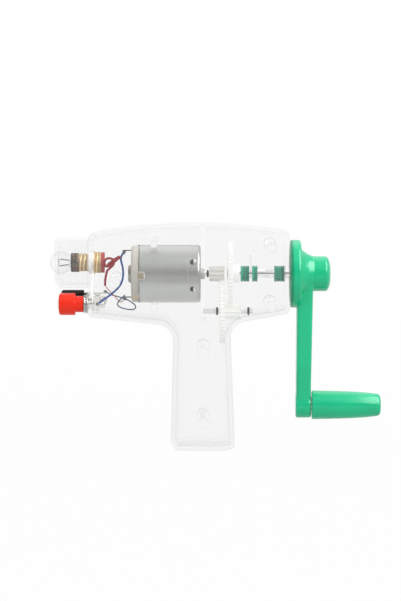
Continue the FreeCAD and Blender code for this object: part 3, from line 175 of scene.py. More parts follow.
class Graph:
    """Node tree that is filled by expressions."""

    def __init__(self, tree):
        self.tree = tree
        tree.nodes.clear()

    def node(self, kind, settings=None, inputs=None, output=0):
        """Adds a node, sets it, gives its sockets values or links, and returns one output."""
        made = self.tree.nodes.new(kind)
        for name, setting in (settings or {}).items():
            setattr(made, name, setting)
        for name, given in (inputs or {}).items():
            socket = made.inputs[name]
            if isinstance(given, (Wire, list)):
                for wire in given if isinstance(given, list) else [given]:
                    self.tree.links.new(wire.socket, socket)
            else:
                socket.default_value = given
        if made.outputs:
            return Wire(self, made.outputs[output])

    def maths(self, operation, *values):
        return self.node("ShaderNodeMath", {"operation": operation}, dict(enumerate(values)))

    def along(self, vector, axis):
        """X, Y or Z of a vector."""
        return self.node("ShaderNodeSeparateXYZ", None, {0: vector}, output=axis)

    def dot(self, vector, direction):
        """Length of a vector along a direction."""
        return self.node(
            "ShaderNodeVectorMath",
            {"operation": "DOT_PRODUCT"},
            {0: vector, 1: direction},
            output="Value",
        )

    def ray(self, *kinds):
        """1 for rays of these kinds and 0 for others."""
        found = 0.0
        path = self.node("ShaderNodeLightPath").socket.node
        for kind in kinds:
            found = self.maths("MAXIMUM", Wire(self, path.outputs["Is %s Ray" % kind]), found)
        return found


class Finish(Graph):
    """One material: its node tree and the shader that shows."""

    def __init__(self, name):
        self.material = bpy.data.materials.new(name)
        self.material.use_nodes = True
        super().__init__(self.material.node_tree)

    def mix(self, factor, first, second):
        """Colour that goes from first to second."""
        return self.node(
            "ShaderNodeMix",
            {"data_type": "RGBA"},
            {"Factor": factor, 6: first, 7: second},
            output=2,
        )

    def place(self, scale=(1.0, 1.0, 1.0), centre=(0.0, 0.0, 0.0)):
        """Object coordinates, moved so that centre is their origin, then scaled."""
        coordinates = self.node("ShaderNodeTexCoord", output="Object")
        moved = self.node(
            "ShaderNodeVectorMath", {"operation": "SUBTRACT"}, {0: coordinates, 1: centre}
        )
        return self.node("ShaderNodeMapping", None, {"Vector": moved, "Scale": scale})

    def off_line(self, centre, across):
        """Distance from a straight line or a plane. Across is 1 on the axes that count."""
        return self.node(
            "ShaderNodeVectorMath",
            {"operation": "LENGTH"},
            {0: self.place(across, centre)},
            output="Value",
        )

    def noise(self, scale, detail=3.0, vector=None):
        return self.node(
            "ShaderNodeTexNoise",
            None,
            {"Vector": vector or self.place(), "Scale": scale, "Detail": detail},
            output="Fac",
        )

    def bump(self, height, distance, strength=1.0):
        return self.node(
            "ShaderNodeBump",
            None,
            {"Height": height, "Distance": distance, "Strength": strength},
        )

    def outline(self):
        """0 where the surface is seen square on and 1 at its outline."""
        return self.node("ShaderNodeLayerWeight", None, {"Blend": 0.5}, output="Facing")

    def show(self, shader):
        self.node("ShaderNodeOutputMaterial", None, {"Surface": shader})
        return self.material

    def surface(self, **values):
        """The Principled shader. Names are its sockets in lower case with underscores."""
        inputs = {}
        for name, given in values.items():
            inputs[name.replace("_", " ").title().replace("Ior", "IOR")] = given
        return self.show(self.node("ShaderNodeBsdfPrincipled", None, inputs))


class Recipe(Graph):
    """Geometry nodes with named inputs, which are turned into a plain mesh."""

    def __init__(self, name, sizes):
        super().__init__(bpy.data.node_groups.new(name, "GeometryNodeTree"))
        sockets = {"Geometry": "Geometry", **sizes, "Material": "Material"}
        for size, kind in sockets.items():
            self.tree.interface.new_socket(
                size, in_out="INPUT", socket_type="NodeSocket" + kind
            )
        self.tree.interface.new_socket(
            "Geometry", in_out="OUTPUT", socket_type="NodeSocketGeometry"
        )
        self.given_node = self.tree.nodes.new("NodeGroupInput")

    def given(self, name):
        """One of the recipe's inputs."""
        return Wire(self, self.given_node.outputs[name])

    def serve(self, geometry):
        """Ends the recipe: real geometry in its own material."""
        real = self.node("GeometryNodeRealizeInstances", None, {"Geometry": geometry})
        dressed = self.node(
            "GeometryNodeSetMaterial",
            None,
            {"Geometry": real, "Material": self.given("Material")},
        )
        output = self.tree.nodes.new("NodeGroupOutput")
        self.tree.links.new(dressed.socket, output.inputs["Geometry"])

    def mesh(self, name, core, finish, **sizes):
        """Plain mesh that the recipe makes of a core mesh."""
        values = {size.replace("_", " ").title(): given for size, given in sizes.items()}
        values["Material"] = FINISHES[finish]
        holder = held(name, core)
        modifier = holder.modifiers.new(name, "NODES")
        modifier.node_group = self.tree
        for item in self.tree.interface.items_tree:
            if item.in_out == "INPUT" and item.name in values:
                modifier[item.identifier] = values[item.name]
        return plain(holder)


# ---------------------------------------------------------------- meshes


def held(name, data):
    """Object that holds a mesh or a curve while it is worked on."""
    holder = bpy.data.objects.new(name, data)
    bpy.context.scene.collection.objects.link(holder)
    return holder


def plain(holder):
    """Mesh that an object's modifiers or curve settings give. The object goes."""
    evaluated = holder.evaluated_get(bpy.context.evaluated_depsgraph_get())
    mesh = bpy.data.meshes.new_from_object(evaluated)
    mesh.name = holder.name
    bpy.data.objects.remove(holder)
    return mesh


class Clay:
    """Mesh in the making, from closed shapes that are added one by one."""

    def __init__(self):
        self.whole = bmesh.new()

    def add(self, shape, inside_out=False):
        """Joins one closed shape, with its faces turned outwards."""
        bmesh.ops.remove_doubles(shape, verts=shape.verts, dist=MERGE)
        bmesh.ops.recalc_face_normals(shape, faces=shape.faces)
        if inside_out:
            bmesh.ops.reverse_faces(shape, faces=shape.faces)
        holder = bpy.data.meshes.new("holder")
        shape.to_mesh(holder)
        shape.free()
        self.whole.from_mesh(holder)
        bpy.data.meshes.remove(holder)

    def turned(self, outline, centre, segments=96, ring=False, inside_out=False):
        """Turns an outline of (x, radius) about a line along X through centre.

        The outline of a ring closes on itself. Any other one starts and ends on the line.
        """
        shape = bmesh.new()
        rows = []
        for x, radius in outline:
            row = []
            for index in range(segments):
                angle = math.tau * index / segments
                row.append(shape.verts.new((
                    x, centre[1] + radius * math.cos(angle), centre[2] + radius * math.sin(angle)
                )))
            rows.append(row)
        pairs = list(zip(rows, rows[1:]))
        if ring:
            pairs.append((rows[-1], rows[0]))
        for first, second in pairs:
            for index in range(segments):
                following = (index + 1) % segments
                shape.faces.new(
                    (first[index], second[index], second[following], first[following])
                )
        self.add(shape, inside_out)

    def ball(self, centre, radii, lumps=0.0, detail=3):
        """Round or squashed lump, uneven by a share of its size."""
        shape = bmesh.new()
        bmesh.ops.create_icosphere(shape, subdivisions=detail, radius=1.0)
        for vertex in shape.verts:
            swell = 1.0 + lumps * noise.noise(vertex.co * 1.7 + Vector(centre) * 900.0)
            vertex.co = Vector(
                middle + part * radius * swell
                for middle, part, radius in zip(centre, vertex.co, radii)
            )
        self.add(shape)

    def block(self, low, high, edge):
        """Block between two corners, with its edges rounded."""
        shape = bmesh.new()
        bmesh.ops.create_cube(shape, size=1.0)
        for vertex in shape.verts:
            vertex.co = Vector(
                first if part < 0 else last for part, first, last in zip(vertex.co, low, high)
            )
        bmesh.ops.bevel(
            shape, geom=shape.edges[:], offset=edge, segments=3, profile=0.5, affect="EDGES"
        )
        self.add(shape)

    def mesh(self, name):
        """The finished mesh, smooth but for its sharp edges."""
        made = bpy.data.meshes.new(name)
        self.whole.to_mesh(made)
        self.whole.free()
        return smooth(made)


def smooth(mesh):
    """Shades a mesh smooth but for its sharp edges."""
    mesh.shade_smooth()
    mesh.set_sharp_from_angle(angle=SHARP_EDGE)
    return mesh


def merged_copy(node):
    """Copy of a solid's mesh with its loose triangles joined."""
    shape = bmesh.new()
    shape.from_mesh(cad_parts[node].data)
    bmesh.ops.remove_doubles(shape, verts=shape.verts, dist=MERGE)
    mesh = bpy.data.meshes.new(node + "_copy")
    shape.to_mesh(mesh)
    shape.free()
    return mesh


def rounded(corners, ring=False, steps=7):
    """Outline with round corners. A corner is (x, radius) or (x, radius, rounding)."""
    outline = []
    count = len(corners)
    for index, corner in enumerate(corners):
        here = Vector(corner[:2])
        at_end = not ring and index in (0, count - 1)
        if len(corner) < 3 or at_end:
            outline.append(here)
            continue
        before = Vector(corners[index - 1][:2]) - here
        after = Vector(corners[(index + 1) % count][:2]) - here
        start = here + before * min(corner[2] / before.length, 0.49)
        end = here + after * min(corner[2] / after.length, 0.49)
        for step in range(steps + 1):
            share = step / steps
            outline.append(start.lerp(here, share).lerp(here.lerp(end, share), share))
    return outline


def piece(name, mesh, finish, slot, body, *nodes):
    """Finished piece that rides on a body and may stand for solids."""
    mesh.name = name
    mesh.materials.clear()
    mesh.materials.append(FINISHES[finish])
    made = held(name, mesh)
    if nodes:
        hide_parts(*nodes)
    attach(made, body)
    return made


def middle(node):
    """Centre of a solid's box."""
    low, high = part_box(node)
    return (low + high) / 2


# ---------------------------------------------------------------- finishes


def rgb(red, green, blue):
    return (red, green, blue, 1.0)


def grey(level):
    return (level, level, level, 1.0)


def tint(colour, share):
    """Colour made lighter or darker by a share."""
    return tuple(min(1.0, part * share) for part in colour[:3]) + (1.0,)


def milk_and_glow_cover(finish, places):
    """Cover of the opaque, glowing places: (centre, axes across its line, radius, cover, length).
    """
    cover = None
    for centre, across, radius, strength, length in places:
        off = finish.off_line(centre, across)
        spot = (1.0 - off.between(radius * 0.9, radius * 1.1)) * strength
        if length:
            reach = finish.off_line(centre, X_ONLY)
            spot = spot * (1.0 - reach.between(length * 0.48, length * 0.52))
        cover = spot if cover is None else cover.maths("MAXIMUM", spot)
    return cover


def clear_moulding(name, look, colour, milk_and_glow=()):
    """Clear plastic: hazier towards its outlines and opaque in places, with a painted glow all over
    that is stronger in those places.

    Milk_and_glow is a row of (places, grey of the plastic there, painted glow that stands for light
    inside it).
    """
    finish = Finish(name)
    rim = finish.outline() ** look.sharpness
    flow = finish.noise(60.0, 2.0, finish.place(scale=(1.0, 1.0, 0.35)))
    haze = (look.haze + rim * (look.edge_haze - look.haze)) * (0.9 + flow * 0.2)
    shade = finish.mix(rim, colour, tint(colour, look.edge_shade))
    # Painted glow over all of the plastic, fainter at its outline.
    light = finish.mix(rim, grey(0.16), grey(0.07))
    for places, tone, glow in milk_and_glow:
        cover = milk_and_glow_cover(finish, places)
        haze = haze.maths("MAXIMUM", cover)
        shade = finish.mix(cover, shade, grey(tone))
        # Painted glow that makes the opaque places show pale.
        painted_inner_glow = finish.mix(rim, grey(glow), tint(grey(glow), 0.3))
        light = finish.mix(cover, light, painted_inner_glow)
    return finish.surface(
        base_color=shade,
        roughness=0.05 + flow * 0.03,
        alpha=haze,
        emission_color=light,
        emission_strength=1.0,
        normal=finish.bump(finish.noise(35.0, 1.0), 0.2 * MM, 0.25),
    )


def glossy_moulding(name, colour, gloss=0.16, painted_streaks=0.0, specular=0.42, shade_to=None):
    """Glossy coloured plastic with a soft skin, clouding and painted streaks of reflection along X.

    It darkens towards a plane X = shade_to, where it lies in the shade of the case.
    """
    finish = Finish(name)
    cloud = finish.noise(45.0, 3.0)
    skin = finish.bump(finish.noise(700.0, 2.0), FINE_SKIN, 0.1)
    wave = finish.noise(1.0, 1.0, finish.place(scale=(650.0, 30.0, 30.0))).between(0.35, 0.65)
    light = finish.mix(cloud.between(0.35, 0.7), tint(colour, 0.95), tint(colour, 1.05))
    # Painted streaks of reflection as dark bands along X.
    dark = wave * painted_streaks
    # Painted shade of the case on the part nearest it.
    if shade_to is not None:
        x = finish.along(finish.place(), "X")
        dark = dark + (1.0 - x.between(shade_to + 0.8 * MM, shade_to + 1.9 * MM)) * 0.65
    return finish.surface(
        base_color=finish.mix(dark, light, tint(colour, 0.35)),
        roughness=gloss + cloud * 0.05,
        normal=skin,
        specular_ior_level=specular,
    )


def metal(
    name, colour, roughness, along=MARKS, grain=0.2, stain_and_top_shade=None, streaks=0.0, metallic=1.0,
):
    """Metal with fine marks that run across one direction, brown staining in its low places and
    painted shade on its top side.

    Stain_and_top_shade is (centre, low radius, high radius, colour, share); its colour also goes
    over the top side as painted shade.
    Streaks are dark marks. A metal that isn't fully metallic has a dull film on it.
    """
    finish = Finish(name)
    lines = finish.noise(1.0, 4.0, finish.place(scale=along))
    cloud = finish.noise(80.0, 2.0)
    shade = finish.mix(lines, tint(colour, 0.88), tint(colour, 1.1))
    rough = roughness * (0.75 + lines * 0.3 + cloud * 0.2)
    if streaks:
        shade = finish.mix(lines.between(0.45, 0.6) * streaks, shade, tint(colour, 0.12))
    if stain_and_top_shade:
        centre, low, high, stain_and_shade_colour, share = stain_and_top_shade
        depth = 1.0 - finish.off_line(centre, OFF_X_LINE).between(low, high)
        # Painted shade: the same brown colour is also laid over the top side.
        painted_shaded_top = finish.along(finish.place(centre=centre), "Z").between(0.0, high) * 0.7
        depth = depth.maths("MAXIMUM", painted_shaded_top)
        shade = finish.mix(depth * share, shade, stain_and_shade_colour)
        rough = rough + depth * 0.2
    return finish.surface(
        base_color=shade,
        metallic=metallic,
        roughness=rough,
        normal=finish.bump(lines, FINE_SKIN, grain),
    )


def dull_moulding(name, colour, roughness=0.45, speckle=0.06, patch=None, specular=0.5):
    """Plain plastic or fibre with a fine grain. A patch is (centre, radius, colour)."""
    finish = Finish(name)
    grain = finish.noise(700.0, 4.0)
    cloud = finish.noise(90.0, 2.0)
    shade = finish.mix(cloud, tint(colour, 1.0 - speckle), tint(colour, 1.0 + speckle))
    if patch:
        centre, radius, patch_colour = patch
        off = finish.off_line(centre, OFF_Y_LINE) + cloud * radius * 0.3
        shade = finish.mix(1.0 - off.between(radius, radius * 1.3), shade, patch_colour)
    return finish.surface(
        base_color=shade,
        specular_ior_level=specular,
        roughness=roughness + grain * 0.12,
        normal=finish.bump(grain, 0.06 * MM, 0.3),
    )


def milky_moulding(name, colour, thin=1.0, edge=1.0, glow=0.0):
    """Natural plastic or glass that lets light through. The glow stands for light inside it."""
    finish = Finish(name)
    cloud = finish.noise(120.0, 2.0)
    inputs = {
        "base_color": finish.mix(cloud, tint(colour, 0.95), colour),
        "roughness": 0.28 + cloud * 0.1,
        "normal": finish.bump(cloud, 0.08 * MM, 0.2),
    }
    if thin < 1.0:
        inputs["alpha"] = thin + finish.outline() ** 1.5 * (edge - thin)
    if glow:
        light = grey(glow)
        inputs["emission_color"] = finish.mix(cloud, light, tint(light, 0.9))
        inputs["emission_strength"] = 1.0
    return finish.surface(**inputs)


def can_steel(name, colour, open_end, middle_height):
    """Drawn sheet of the motor's can: oil at its open end, a painted dark reflection along its
    sides, and painted light below with painted shade above.
    """
    finish = Finish(name)
    lines = finish.noise(1.0, 4.0, finish.place(scale=MARKS))
    cloud = finish.noise(110.0, 3.0)
    grain = lines * 0.6 + cloud * 0.4
    # Painted light and shade: the bottom half of the can is painted lighter and its top half
    # darker.
    painted_lit_bottom = finish.mix(grain, tint(colour, 1.08), tint(colour, 1.32))
    painted_shaded_top = finish.mix(grain, tint(colour, 0.77), tint(colour, 0.95))
    height = finish.along(finish.place(centre=(0.0, 0.0, middle_height)), "Z")
    shade = finish.mix(height.between(-5.0 * MM, 7.0 * MM), painted_lit_bottom, painted_shaded_top)
    # Painted dark reflection in a band along the middle of its sides.
    rise = finish.off_line((0.0, 0.0, middle_height), Z_ONLY)
    painted_dark_reflection = (1.0 - rise.between(0.8 * MM, 5.5 * MM)) * (0.3 + cloud * 0.5)
    shade = finish.mix(painted_dark_reflection, shade, tint(colour, 0.5))
    away = finish.off_line((open_end, 0.0, 0.0), X_ONLY)
    oil = (1.0 - away.between(0.25 * MM, 0.6 * MM)) * finish.noise(260.0, 2.0).between(0.35, 0.5)
    return finish.surface(
        base_color=finish.mix(oil, shade, tint(colour, 0.2)),
        metallic=0.35,
        roughness=0.19 + lines * 0.07 + cloud * 0.05,
        normal=finish.bump(lines, FINE_SKIN, 0.2),
    )


FINISHES = {}


def case_milk_and_glow():
    """Opaque places of the case that carry a painted glow: its pins, the motor's cradle studs and
    the bore for the lamp.
    """
    can_low, can_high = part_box("motor_can")
    shell_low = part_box("lamp_holder_shell")[0]
    pins = []
    for z in (can_low.z - STUD_UNDER_CAN, can_high.z + STUD_OVER_CAN):
        stud = (can_low.x + STUD_BEHIND_CAN, 0.0, z)
        pins.append((stud, OFF_Y_LINE, STUD_RADIUS, 0.95, 0.0))
    for x, z in JOINING_PINS:
        pins.append(((x, 0.0, z), OFF_Y_LINE, PIN_RADIUS, 1.0, 0.0))
    lamp = middle("lamp_holder_shell")
    wall_middle = (shell_low.x + WALL / 2, lamp.y, lamp.z)
    bore = ((wall_middle, OFF_X_LINE, LAMP_BORE, 0.9, WALL),)
    # Rows of (places, grey of the plastic there, painted glow).
    return ((bore, 0.93, 0.35), (pins, 0.08, 0.79))


def make_finishes():
    """Every finish by name, made once."""
    scene = bpy.context.scene
    case = scene.generator_case
    hood = scene.generator_hood
    crank = rgb(*scene.generator_crank.colour)
    post = scene.generator_posts
    leads = scene.generator_leads
    lamp = middle("lamp_base")
    brown = rgb(0.13, 0.07, 0.03)
    thread_stain_and_top_shade = (lamp, 3.95 * MM, 4.4 * MM, brown, 0.85)
    holder_stain_and_top_shade = (lamp, 4.95 * MM, 5.1 * MM, brown, 0.6)
    can_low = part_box("motor_can")[0]
    cap_corner = Vector((can_low.x - 1.6 * MM, 0.0, can_low.z + 2.6 * MM))
    cap_patch = (cap_corner, 1.9 * MM, rgb(0.72, 0.58, 0.42))
    made = {
        "case": clear_moulding("clear_case", case, rgb(*case.colour), case_milk_and_glow()),
        "hood": clear_moulding("clear_hood", hood, rgb(*hood.colour)),
        "glass": milky_moulding("bulb_glass", rgb(0.78, 0.81, 0.84), 0.02, 0.3),
        "green": glossy_moulding("green_plastic", crank),
        "crank": glossy_moulding("crank_plastic", crank, shade_to=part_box("crank_arm")[0].x),
        "green_collar": glossy_moulding("green_collar", rgb(0.02, 0.44, 0.28), painted_streaks=0.8),
        "can": can_steel("steel_can", rgb(0.51, 0.52, 0.5), can_low.x,
                         middle("motor_can").z - 0.7 * MM),
        "bright": metal("bright_steel", rgb(0.9, 0.9, 0.89), 0.1, FINE_MARKS, 0.1),
        "steel": metal("grey_steel", rgb(0.6, 0.6, 0.58), 0.25, FINE_MARKS),
        "dark": metal("blued_steel", grey(0.06), 0.35),
        "cap": dull_moulding("cap_plastic", rgb(0.58, 0.56, 0.5), 0.45, patch=cap_patch),
        "latch": dull_moulding("latch_plastic", rgb(0.36, 0.3, 0.2), 0.4, 0.15),
        "white": dull_moulding("white_plastic", rgb(0.85, 0.84, 0.8), 0.4),
        # Painted glow on the wheels and pinions, for light inside them.
        "wheel": milky_moulding("wheel_plastic", rgb(0.88, 0.88, 0.86), glow=0.2),
        "pinion": milky_moulding("pinion_plastic", rgb(0.82, 0.8, 0.76), glow=0.1),
        "clear_pinion": milky_moulding("clear_pinion", rgb(0.86, 0.86, 0.83), glow=0.2),
        "brass": metal("brass", rgb(0.8, 0.58, 0.2), 0.2),
        "tin": metal("tinned_brass", rgb(0.8, 0.79, 0.76), 0.55),
        "ring": metal("turned_nickel", rgb(0.55, 0.55, 0.53), 0.25, grain=0.1, streaks=0.5),
        "thread": metal("lamp_brass", rgb(0.97, 0.71, 0.38), 0.28, grain=0.1,
                        stain_and_top_shade=thread_stain_and_top_shade, metallic=0.42),
        "rim": metal("stained_brass", rgb(0.15, 0.11, 0.075), 0.35, grain=0.1, streaks=0.9),
        "holder": metal("holder_brass", rgb(0.95, 0.68, 0.34), 0.3, grain=0.1,
                        stain_and_top_shade=holder_stain_and_top_shade, metallic=0.42),
        "nickel": metal("nickel", rgb(0.82, 0.81, 0.78), 0.16, (1500.0, 60.0, 60.0)),
        "black_glass": dull_moulding("black_glass", rgb(0.02, 0.02, 0.025), 0.12),
        "solder": metal("solder", rgb(0.25, 0.25, 0.24), 0.3, (300.0, 300.0, 300.0), 0.5),
        "bearing": metal("bearing_steel", rgb(0.36, 0.34, 0.3), 0.3),
        "tungsten": metal("tungsten", rgb(0.12, 0.11, 0.11), 0.4, (2000.0, 2000.0, 900.0), 0.3),
        "fibre": dull_moulding("red_fibre", rgb(0.42, 0.03, 0.04), 0.6, 0.12),
        "red": glossy_moulding("red_plastic", rgb(*post.red), 0.2, specular=0.25),
        "black": glossy_moulding("black_plastic", rgb(*post.black), 0.5, specular=0.12),
        "red_wire": dull_moulding("red_insulation", rgb(*leads.red), 0.45, specular=0.2),
        "blue_wire": dull_moulding("blue_insulation", rgb(*leads.blue), 0.45, specular=0.2),
        "dark_blue_wire": dull_moulding("dark_blue_insulation", rgb(*leads.dark_blue), 0.45,
                                        specular=0.2),
        # Painted glow makes the countershaft pale.
        "pale_steel": milky_moulding("pale_steel", rgb(0.84, 0.84, 0.83), glow=0.14),
        "strand": metal("copper_strand", rgb(0.6, 0.24, 0.16), 0.35, (3000.0, 3000.0, 300.0)),
        "ferrite": dull_moulding("ferrite", rgb(0.015, 0.015, 0.016), 0.6),
        "laminations": metal("laminations", rgb(0.25, 0.25, 0.26), 0.45, (4000.0, 30.0, 30.0), 0.6),
        "copper": metal("copper", rgb(0.62, 0.30, 0.16), 0.3, (900.0, 200.0, 200.0), 0.3),
    }
    FINISHES.update(made)


NODE_FINISHES = {
    "case": ("case_front", "case_back"),
    "hood": ("lamp_hood",),
    "glass": ("lamp_glass",),
    "wheel": ("counter_wheel", "crank_wheel", "lamp_bead"),
    "crank": ("crank_arm",),
    "green": ("handle_grip",),
    "green_collar": ("axle_collar_inner", "axle_collar_middle", "axle_collar_outer"),
    "can": ("motor_can",),
    "bearing": ("motor_rear_bearing",),
    "white": ("motor_front_bearing",),
    "bright": ("crank_axle", "handle_pin", "motor_shaft"),
    "pale_steel": ("countershaft",),
    "cap": ("motor_end_cap",),
    "pinion": ("motor_pinion",),
    "clear_pinion": ("counter_pinion",),
    "thread": ("lamp_base",),
    "holder": ("lamp_holder_shell",),
    "brass": ("lamp_holder_contact", "red_post_insert", "black_post_insert"),
    "tin": ("lamp_strap",),
    "nickel": (
        "red_post_stud", "black_post_stud", "red_post_collar", "black_post_collar",
        "red_post_tag", "black_post_tag", "red_post_nut", "black_post_nut",
    ),
    "black_glass": ("lamp_insulator",),
    "solder": ("lamp_tip",),
    "dark": ("motor_terminal_top", "motor_terminal_bottom"),
    "tungsten": ("lamp_supports", "lamp_filament"),
    "fibre": ("lamp_holder_washer",),
    "red": ("red_post_knob",),
    "black": ("black_post_knob",),
    "red_wire": ("red_wire",),
    "blue_wire": ("blue_wire_near",),
    "dark_blue_wire": ("blue_wire_far",),
    "ferrite": ("motor_magnets",),
    "laminations": ("motor_armature",),
    "copper": ("motor_commutator",),
}


def dress(node, finish):
    """Gives a solid of the frame its finish."""
    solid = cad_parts[node]
    if not solid.material_slots:
        solid.data.materials.append(None)
    for slot in solid.material_slots:
        slot.material = FINISHES[finish]


# ---------------------------------------------------------------- sizes and colours


def colour_setting(label, default):
    """Setting for a colour."""
    return bpy.props.FloatVectorProperty(
        name=label, description=label, subtype="COLOR", size=3, default=default,
        min=0.0, max=1.0)


def share_setting(label, default, top=1.0):
    """Setting for a plain number."""
    return bpy.props.FloatProperty(
        name=label, description=label, subtype="FACTOR", default=default, min=0.0, max=top)


def length_setting(label, default):
    """Setting for a length in metres."""
    return bpy.props.FloatProperty(
        name=label, description=label, subtype="DISTANCE", unit="LENGTH", default=default,
        min=0.0, precision=5)


class CaseLook(bpy.types.PropertyGroup):
    """Colour and haze of the clear case."""

    colour: colour_setting("Colour of the clear plastic", (0.52, 0.53, 0.53))
    haze: share_setting("Cover of one face seen square on", 0.06)
    edge_haze: share_setting("Cover of one face at its outline", 0.32)
    edge_shade: share_setting("Brightness of the outline", 0.95)
    sharpness: share_setting("How narrow the outline is", 2.2, 10.0)


class HoodLook(bpy.types.PropertyGroup):
    """Colour and haze of the lamp's clear hood."""

    colour: colour_setting("Colour of the hood", (0.55, 0.56, 0.57))
    haze: share_setting("Cover of one face seen square on", 0.075)
    edge_haze: share_setting("Cover of one face at its outline", 0.5)
    edge_shade: share_setting("Brightness of the outline", 0.9)
    sharpness: share_setting("How narrow the outline is", 4.0, 10.0)


class CrankLook(bpy.types.PropertyGroup):
    """Colour and softness of the crank's moulding."""

    colour: colour_setting("Colour of the crank and the handle", (0.006, 0.56, 0.265))
    voxel: length_setting("Fineness of the moulding's skin", 0.34 * MM)
    softness: bpy.props.IntProperty(
        name="Softness", description="Rounds of smoothing on its edges", default=6, min=0)


class HandleLook(bpy.types.PropertyGroup):
    """Shape of the turning handle."""

    near_radius: length_setting("Radius at the crank", 6.95 * MM)
    middle_radius: length_setting("Radius where the taper starts", 6.45 * MM)
    far_radius: length_setting("Radius at the free end", 5.2 * MM)
    taper: length_setting("Length of the taper", 11.0 * MM)
    edge: length_setting("Rounding of the free end", 2.0 * MM)


class LampLook(bpy.types.PropertyGroup):
    """Threads, base sheet and filament of the lamp."""

    thread_pitch: length_setting("Pitch of the lamp's thread", 1.81 * MM)
    thread_turns: share_setting("Turns of the lamp's thread", 3.9, 20.0)
    thread_ridge: length_setting("Radius of the thread's rolled ridge", 0.52 * MM)
    sheet: length_setting("Thickness of the base's sheet", 0.3 * MM)
    coil_radius: length_setting("Radius of the filament's coil", 0.17 * MM)
    coil_wire: length_setting("Radius of the filament's wire", 0.05 * MM)


class PostsLook(bpy.types.PropertyGroup):
    """Colours of the knobs and the thread of the studs."""

    red: colour_setting("Colour of the red knob", (0.97, 0.03, 0.009))
    black: colour_setting("Colour of the black knob", (0.018, 0.008, 0.009))
    edge: length_setting("Rounding of the knob's edges", 0.45 * MM)
    thread_pitch: length_setting("Pitch of the stud's thread", 0.7 * MM)
    thread_ridge: length_setting("Radius of the thread's ridge", 0.24 * MM)


class LeadsLook(bpy.types.PropertyGroup):
    """Colours and thicknesses of the wires inside the case."""

    red: colour_setting("Colour of the red wire", (0.32, 0.002, 0.016))
    blue: colour_setting("Colour of the near blue wire", (0.02, 0.08, 0.33))
    dark_blue: colour_setting("Colour of the far blue wire", (0.05, 0.09, 0.17))
    red_radius: length_setting("Radius of the red wire", 0.56 * MM)
    blue_radius: length_setting("Radius of the near blue wire", 0.5 * MM)
    far_radius: length_setting("Radius of the far blue wire", 0.3 * MM)
    strand_radius: length_setting("Radius of the bare copper", 0.23 * MM)


class StageLook(bpy.types.PropertyGroup):
    """Camera, lamps and surroundings."""

    distance: length_setting("From the camera to the object", 1.058)
    elevation: bpy.props.FloatProperty(
        name="Elevation", description="Camera above the horizon",
        subtype="ANGLE", unit="ROTATION", default=math.radians(5.0))
    lens: bpy.props.FloatProperty(
        name="Lens", description="Focal length in millimetres, for a 36 mm long side",
        default=132.0, min=10.0)
    aim: bpy.props.FloatVectorProperty(
        name="Aim", description="Point in the middle of the view",
        subtype="TRANSLATION", unit="LENGTH", size=3, default=(-0.0012, 0.0, 0.0704))
    even_light: share_setting("Light from every side", 0.36, 4.0)
    main_light: share_setting("Soft light from above and in front", 1.1, 4.0)
    dark_mirror: share_setting("How dark the room in front is in gloss", 0.8)
    panel_light: share_setting("Light of the white panel that shows in gloss", 8.0, 40.0)
    panel_side: bpy.props.FloatVectorProperty(
        name="Panel", description="Direction of the white panel that shows in gloss",
        subtype="DIRECTION", size=3, default=(0.43, -0.44, 0.76))


# ---------------------------------------------------------------- steps


